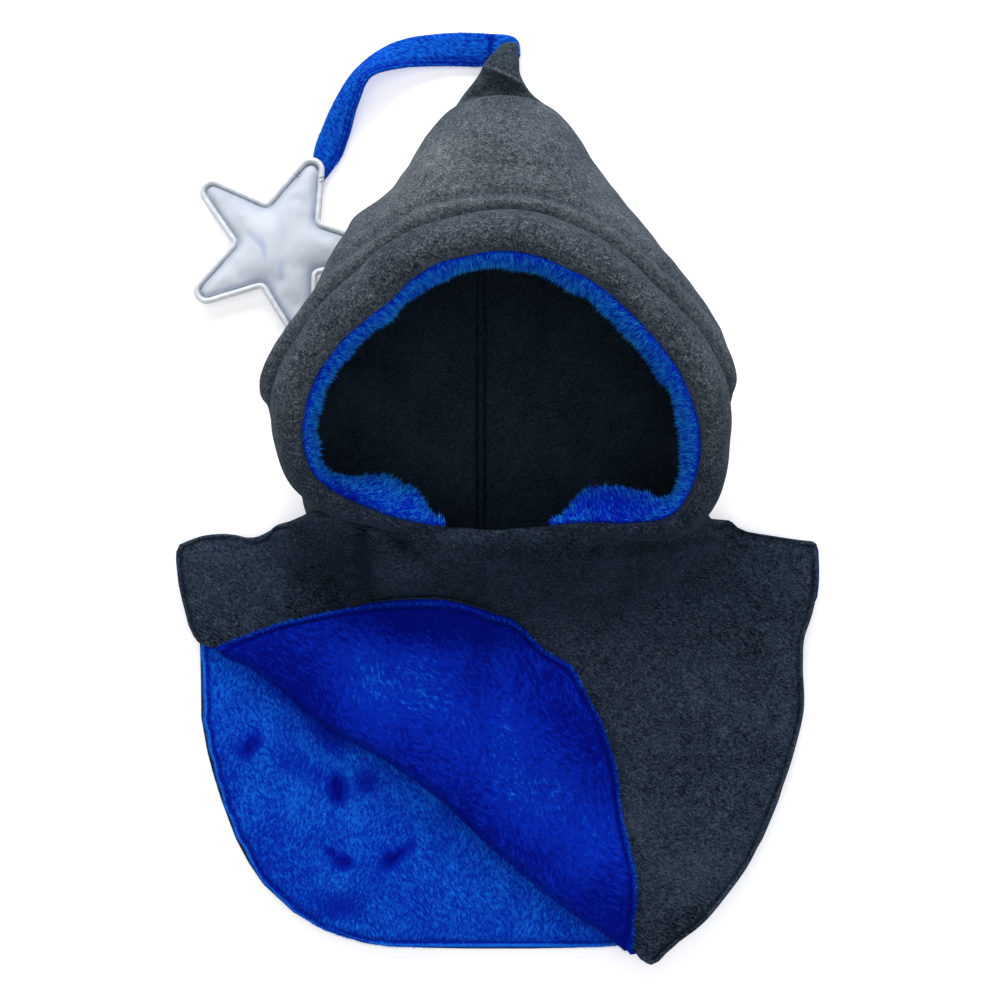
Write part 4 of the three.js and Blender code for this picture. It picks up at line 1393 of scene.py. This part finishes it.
def makeBack():
    def atNeck(rim):
        return (np.abs(rim[:, 0]) < yoke["neckHalf"]) & (rim[:, 1] > -14)

    sheetGrid, liningGrid = backGrid(0), backGrid(back["border"])
    edge = edgeDistance(sheetGrid[..., :2], atNeck)
    liningEdge = edgeDistance(liningGrid[..., :2], atNeck)
    up = np.array([0, 0, 1.0])
    pinch = 0.5 * np.clip(1 - edge / 3, 0, 1) ** 2
    top = sheetGrid + up * (yoke["fleece"] - pinch)[..., None]
    panel = makeWall("backPanel", top, sheetGrid, yokeFleece)
    x, y = liningGrid[..., 0], liningGrid[..., 1]
    out = -foldPlace(x, y)[1]
    free = smoothBetween(10, 40, out) * smoothBetween(4, 25, liningEdge)
    swell = 0.8 * np.maximum(waves(x, y, 60, 72) + 0.5, 0) * free
    thick = yoke["plush"] - hemShape(liningEdge) + swell
    low = liningGrid + up * (yoke["fleece"] + 0.05)
    face = low + up * (yoke["gap"] + thick)[..., None]
    lining = makeWall("backLining", face, low + up * 0.2, backPlush)
    keepValues(lining, "fold", face.reshape(-1, 3), hemShadeAndHighlight(liningEdge).ravel())
    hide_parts("back_panel")
    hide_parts("back_lining")

    def shown(centre, n):
        out = -foldPlace(centre[:, 0], centre[:, 1])[1]
        return ((n[:, 2] > 0.1) & (out > -8)) * 1.0

    def downwards(p):
        return p * 0 + (0.1, -1, 0)

    pile = makePile("backLiningPile", lining, backPile, backStrands, shown, downwards)
    rim = np.concatenate([face[30:-1, 0], face[-1], face[-2:60:-1, -1]])
    outward = unit(np.gradient(rim, axis=0)[:, [1, 0, 2]] * (-1, 1, 0))
    outward *= np.sign((outward * (rim - (0, -110, 0))).sum(1, keepdims=True))
    fringe = makeFringe("backFringe", rim, outward, backFringe, backStrands)


makeBack()
print("back yoke made")

hemStitch = {"length": 2.2, "space": 0.8, "radius": 0.34, "rise": 0.12}


def makeHemStitches():
    inside = movedIn(flapHemLine(), yoke["stitchIn"], flapMiddle)
    inside = inside[(inside[:, 1] > 1) & (inside[:, 1] < flapHem["out"][-1] - 1)]
    spots = flapPoint(inside[:, 0], inside[:, 1]) - (0, 0, yoke["groove"] - 0.25)
    makeStitches("flapStitches", spots, hemStitch, blueThread)
    lyingSides = {"leftHemStitches": np.array(leftSide), "rightHemStitches": rightEdge[2:-3]}
    for name, side in lyingSides.items():
        line = movedIn(side, yoke["stitchIn"], np.array([0, -60]))
        z = frontHeight(line[:, 0], line[:, 1]) + layers - yoke["groove"] + 0.1
        makeStitches(name, np.column_stack([line, z]), hemStitch, darkThread)


makeHemStitches()


strapPath = table(
    "at x y z roll width",
    (0, 9.9, 223.6, 0, 0, 4),
    (0.1, 9.2, 223.6, 0, 0, 9),
    (0.3, 7, 223.8, 0, 0, 13.5),
    (1, -8, 224.5, 0, 0, 16.5),
    (2, -29, 224.5, 0, 4, 16.5),
    (3, -50, 221.5, 0.5, 22, 15.5),
    (4, -67, 212.5, 2, 50, 14.5),
    (5, -76, 198, 1.5, 30, 13.8),
    (6, -82, 183, 0.4, 8, 14.5),
    (6.6, -86, 173, 0, 0, 14),
    (7, -88.5, 167, 0, 0, 11),
    (8, -92, 158, 0, 0, 5),
)
strap = {
    "thick": 4,
    "around": 36,
    "steps": 170,
    "half": 8.2,
    "seams": (0.62, 0.84),
    "seamWidth": 0.55,
    "sewnAt": 0.86,
    "dip": 0.35,
}
strapPile = {
    "perSquare": 2.6, "length": 1.1, "width": 0.26, "lean": 0.74, "stray": 0.2, "swirlSize": 30, "seed": 81,
    "clump": 4, "paintedHighlight": 0.25, "pale": 0.2,
}
strapPlush = makePlush("strapPlush", 0.4, 900, 60, 0.2, lift=0.92, pale=0.19)
strapStrands = makePlush("strapStrands", patchSize=60, contrast=0.2, strands=True, lift=0.9, pale=0.1)


def makeStrap():
    at = np.linspace(0, strapPath["at"][-1], strap["steps"])
    row = rowAt(strapPath, at)
    sideX, sideY = sideways(strapPath, at, 0.1)
    roll = np.radians(row["roll"])
    half, thick = row["width"][:, None] / 2, strap["thick"] / 2
    middle = row["z"] + half[:, 0] * np.abs(np.sin(roll)) + thick * np.cos(roll)
    q = np.linspace(0, 2 * math.pi, strap["around"], endpoint=False)[None]
    share = np.sign(np.cos(q)) * np.abs(np.cos(q)) ** 0.8
    u = half * share
    v = thick * np.sign(np.sin(q)) * np.abs(np.sin(q)) ** 0.7
    for seam in strap["seams"]:
        v = v * (1 - strap["dip"] * bell((share - seam) * strap["half"], strap["seamWidth"]))
    v = v * (1 - strap["dip"] * bell(at[:, None] - strap["sewnAt"], 0.045))
    v = v * (1 + 0.07 * waves(at[:, None] * 20, u, 9, 82))
    side = u * np.cos(roll)[:, None] - v * np.sin(roll)[:, None]
    up = u * np.sin(roll)[:, None] + v * np.cos(roll)[:, None]
    x, y = (row[k][:, None] + way[:, None] * side for k, way in (("x", sideX), ("y", sideY)))
    grid = np.stack([x, y, np.maximum(middle[:, None] + up, 0.02)], -1)
    # painted shade in the dips along the seams and the sewn line
    tone = sum(bell((share - seam) * strap["half"], 0.45) for seam in strap["seams"])
    tone = tone + bell(at[:, None] - strap["sewnAt"], 0.05)
    sewn = grid.reshape(-1, 3)
    ends = [np.broadcast_to(row.mean(1, keepdims=True), row.shape) for row in (grid[:1], grid[-1:])]
    grid = np.concatenate([ends[0], grid, ends[1]])
    faces = gridFaces(len(grid), strap["around"], True)
    piece = makePiece("starStrap", grid, faces, strapPlush)
    keepValues(piece, "fold", sewn, np.broadcast_to(tone, grid[1:-1].shape[:2]).ravel())
    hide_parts("strap")

    def shown(centre, n):
        return (n[:, 2] > -0.3) * 1.0

    def towardsStar(p):
        return p * 0 + (-0.8, -0.5, 0)

    pile = makePile("strapPile", piece, strapPile, strapStrands, shown, towardsStar)
    length = float(np.hypot(np.diff(row["x"]), np.diff(row["y"])).sum()) * mm
    print("strap", round(length, 4), "m along its middle")


makeStrap()


star = {
    "x": -110.6,
    "y": 126.6,
    "turn": 68.5,
    "points": 5,
    "outer": 65.5,
    "first": 62.5,
    "inner": 22.4,
    "pointRadius": 6.3,
    "notchRadius": 1.2,
    "rimWidth": 2.6,
    "rimBase": 4.3,
    "rimTop": 7.3,
    "padTop": 10.5,
    "rings": 26,
    "wider": 2.2,
    "steps": 400,
    "around": 14,
    "seamOut": 1.25,  # the rim's seam allowance, by which its lower half is wider on either side
    "seamIn": 2,
    "padInset": 0.85,
    "padRise": 13,
    "bellyRise": 7,
}
piping = makePiping("whitePiping")


def starOutline(inset, pointSteps=10, notchSteps=4):
    slant = math.pi / star["points"]
    edgeAngle = math.atan2(star["inner"] * math.sin(slant), star["outer"] - star["inner"] * math.cos(slant))
    corners = []
    for i in range(2 * star["points"]):
        tip = i % 2 == 0
        reach = star["first"] if i == 0 else star["outer"]
        radius = reach - inset / math.sin(edgeAngle) if tip else star["inner"] - inset / math.sin(edgeAngle + slant)
        q = math.radians(star["turn"]) + slant * i
        corners.append((np.array([math.cos(q), math.sin(q)]) * radius, tip))
    outline = []
    for i, (p, tip) in enumerate(corners):
        before = corners[i - 1][0] - p
        after = corners[(i + 1) % len(corners)][0] - p
        before, after = before / np.hypot(*before), after / np.hypot(*after)
        half = math.acos(np.clip(before @ after, -1, 1)) / 2
        radius = max(star["pointRadius"] - inset if tip else star["notchRadius"] + inset, 0.4)
        middle = (before + after) / np.hypot(*(before + after))
        centre = p + middle * radius / math.sin(half)
        sweep = (1 if tip else -1) * (math.pi - 2 * half)
        steps = pointSteps if tip else notchSteps
        for k in range(steps + 1):
            q = sweep * (k / steps - 0.5)
            c, s, (x, y) = math.cos(q), math.sin(q), -middle
            outline.append(centre + radius * np.array([x * c - y * s, x * s + y * c]))
    outline = np.array(outline) + (star["x"], star["y"])
    # the side under the hood is a little wider
    outline[:, 0] += star["wider"] * smoothBetween(-112, -94, outline[:, 0])
    return outline


# Even points round a closed outline
def evenly(outline, count):
    ring = closed(outline)
    along = np.concatenate([[0], np.cumsum(np.hypot(*np.diff(ring, axis=0).T))])
    at = np.linspace(0, along[-1], count, endpoint=False)
    return pointsAt(at, along, ring)


padding = {"voxel": 1.7, "pressure": 4, "frames": 20, "grow": 0.012, "cap": 2.2, "crease": 0.5, "smooth": 5}
padCreases = [
    [(-124, 131), (-120, 129.5), (-117.6, 125.5), (-117, 121)],
    [(-110, 117.5), (-107.8, 113.5), (-108.6, 108)],
]


# The stuffed pad swells as cloth under pressure, held along its seam
def puffUp(pad, outline):
    bpy.ops.object.select_all(action="DESELECT")
    pad.select_set(True)
    bpy.context.view_layer.objects.active = pad
    remesh = pad.modifiers.new("remesh", "REMESH")
    remesh.mode = "VOXEL"
    remesh.voxel_size = padding["voxel"] * mm
    bpy.ops.object.modifier_apply(modifier="remesh")
    before = pointsOf(pad.data)
    edge = distanceTo(before[:, 0], before[:, 1], closed(outline))
    held = pad.vertex_groups.new(name="seam")
    held.add([int(i) for i in np.flatnonzero(edge < 1.2)], 1.0, "REPLACE")
    cloth = pad.modifiers.new("cloth", "CLOTH")
    cloth.settings.quality = 6
    cloth.settings.use_pressure = True
    cloth.settings.uniform_pressure_force = padding["pressure"]
    cloth.settings.shrink_min = -padding["grow"]
    cloth.settings.vertex_group_mass = "seam"
    cloth.settings.effector_weights.gravity = 0
    cloth.collision_settings.use_collision = False
    cloth.point_cache.frame_start, cloth.point_cache.frame_end = 1, padding["frames"]
    for number in range(1, padding["frames"] + 1):
        bpy.context.scene.frame_set(number)
    bpy.ops.object.modifier_apply(modifier="cloth")
    bpy.context.scene.frame_set(1)
    move = pointsOf(pad.data) - before
    far = np.linalg.norm(move, axis=1, keepdims=True)
    print("pad swells by up to", round(float(far.max()), 2), "mm")
    shaped = before + move * np.minimum(1, padding["cap"] / np.maximum(far, 1e-6))
    above = smoothBetween(6, 8, shaped[:, 2])
    for line in padCreases:
        shaped[:, 2] -= padding["crease"] * crease(shaped[:, 0], shaped[:, 1], line, 1.3) * above
    shaped[:, 2] = np.maximum(shaped[:, 2], 0.05)
    pad.data.vertices.foreach_set("co", (shaped * mm).ravel())
    pad.vertex_groups.clear()
    softer = pad.modifiers.new("softer", "SMOOTH")
    softer.factor, softer.iterations = 0.5, padding["smooth"]
    bpy.ops.object.modifier_apply(modifier="softer")
    finer = pad.modifiers.new("finer", "SUBSURF")
    finer.levels = finer.render_levels = 1
    bpy.ops.object.modifier_apply(modifier="finer")
    points = pointsOf(pad.data)
    edge = distanceTo(points[:, 0], points[:, 1], closed(outline))
    # painted shade on the pad where it dips towards the rim
    tone = bell(edge - 1.2, 2.0) * (points[:, 2] > 3)
    setValues(pad, "fold", tone)
    for face in pad.data.polygons:
        face.use_smooth = True
    pad.select_set(False)


def makeStar():
    count, around = star["steps"], star["around"]
    outer = evenly(starOutline(0), count)
    middle = star["rimWidth"] / 2
    way = np.roll(outer, -1, 0) - np.roll(outer, 1, 0)
    way /= np.hypot(*way.T)[:, None]
    inwards = np.stack([-way[:, 1], way[:, 0]], 1)
    centreLine = outer + inwards * middle
    rings = []
    for k in range(around):
        q = 2 * math.pi * k / around
        w, h = middle * math.cos(q), (star["rimTop"] - star["rimBase"]) / 2 * math.sin(q)
        if h < -0.2:
            w = w * star["seamOut" if w > 0 else "seamIn"]
        flat = centreLine - inwards * w
        z = np.full(count, (star["rimTop"] + star["rimBase"]) / 2 + h)
        rings.append(np.stack([flat[:, 0], flat[:, 1], z], 1))
    grid = np.stack(rings, 1)
    grid = np.concatenate([grid, grid[:1]])
    rim = makePiece("starRim", grid, gridFaces(len(grid), around, True), piping)
    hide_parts("star_rim")

    # the pad: rings from its lying face round the side to the puffed top
    start = evenly(starOutline(star["rimWidth"] * star["padInset"]), count)
    centre = np.array([star["x"], star["y"]])
    levels = np.array([centre + (start - centre) * (1 - share) for share in np.linspace(0, 1, star["rings"])])
    deep = distanceTo(levels[..., 0], levels[..., 1], closed(start))

    def swollen(reach):
        share = np.clip(deep / reach, 0, 1)
        return np.sqrt(share * (2 - share))

    puff = (star["padTop"] - star["rimTop"] + 0.9) * swollen(star["padRise"])
    top = np.stack([levels[..., 0], levels[..., 1], star["rimTop"] - 2.6 + puff], -1)
    belly = (star["rimBase"] + 1.2) * swollen(star["bellyRise"])
    low = np.stack([levels[..., 0], levels[..., 1], np.maximum(star["rimBase"] + 0.6 - belly, 0.02)], -1)
    grid = np.concatenate([low[::-1], top])
    pad = makePiece("starPad", grid, gridFaces(len(grid), count, True), silver)
    puffUp(pad, start)
    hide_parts("star_pad")


makeStar()

starStitch = {"length": 2.6, "space": 0.5, "radius": 0.22, "rise": 0.5}
greyThread = makeThread("greyThread", colour(92, 98, 112), colour(150, 156, 168))


# A few short stitches across the rim hold the strap at the star's first point
def makeStarStitches():
    spots = [
        ((-100.6, 163.2), (-98.6, 161.6)),
        ((-101.7, 161.8), (-99.7, 160.2)),
        ((-87.2, 160.6), (-89.6, 160.2)),
        ((-87.3, 158.4), (-89.7, 158.0)),
    ]
    for i, (a, b) in enumerate(spots):
        line = np.array([(*a, star["rimTop"]), (*b, star["rimTop"] - 0.2)])
        line = np.array([mix(line[0], line[1], s) for s in np.linspace(-0.4, 1.4, 8)])
        makeStitches(f"starStitch{i + 1}", line, starStitch, greyThread)


makeStarStitches()
print("star made")


studio = {"eye": 1.1, "frame": 0.5, "key": 30, "top": 22, "side": 3, "world": 0.25, "glow": 0.36}


def makeStudio():
    bpy.ops.object.select_all(action="DESELECT")
    bpy.ops.mesh.primitive_plane_add(size=8, location=(0, 0, -0.0006))
    floor = bpy.context.object
    floor.name = "floor"
    bpy.ops.object.transform_apply(location=True, rotation=True, scale=True)
    look = Look("palePaper")
    grain = look.noise(look.place(), 40, 2, 0.5)
    floor.data.materials.append(look.finish({
        "Base Color": look.blend(grain, (0.93, 0.93, 0.93, 1), (0.95, 0.95, 0.95, 1)),
        "Roughness": 0.9,
        "Specular IOR Level": 0.1,
        "Emission Color": (1, 1, 1, 1),
        "Emission Strength": studio["glow"],
    }))

    def addLight(name, place, size, power, tint):
        data = bpy.data.lights.new(name, "AREA")
        data.shape = "RECTANGLE"
        data.size, data.size_y = size
        data.energy = power
        data.color = tint
        light = bpy.data.objects.new(name, data)
        bpy.context.scene.collection.objects.link(light)
        light.location = place
        light.rotation_mode = "QUATERNION"
        light.rotation_quaternion = Vector(place).to_track_quat("Z", "Y")

    addLight("keyLight", (-0.2, 1.6, 0.85), (1.6, 0.8), studio["key"], (1, 0.99, 0.97))
    addLight("topLight", (0.0, -0.1, 2.0), (2.2, 2.2), studio["top"], (1, 1, 1))
    addLight("sideLight", (1.5, -0.5, 1.0), (1.0, 1.0), studio["side"], (0.9, 0.95, 1))
    world = bpy.data.worlds.new("studioWorld")
    bpy.context.scene.world = world
    world.use_nodes = True
    world.node_tree.nodes["Background"].inputs["Color"].default_value = (1, 1, 1, 1)
    world.node_tree.nodes["Background"].inputs["Strength"].default_value = studio["world"]
    data = bpy.data.cameras.new("camera")
    data.sensor_width = 36
    data.lens = 36 * studio["eye"] / studio["frame"]
    data.clip_start, data.clip_end = 0.05, 20
    camera = bpy.data.objects.new("camera", data)
    bpy.context.scene.collection.objects.link(camera)
    camera.location = (0, 0, studio["eye"])
    bpy.context.scene.camera = camera
    bpy.context.scene.view_settings.view_transform = "Standard"


makeStudio()
print("studio made")

for piece in bpy.data.objects:
    if piece.type == "MESH" and not piece.hide_render:
        piece.data.calc_loop_triangles()
        print(piece.name, len(piece.data.loop_triangles))
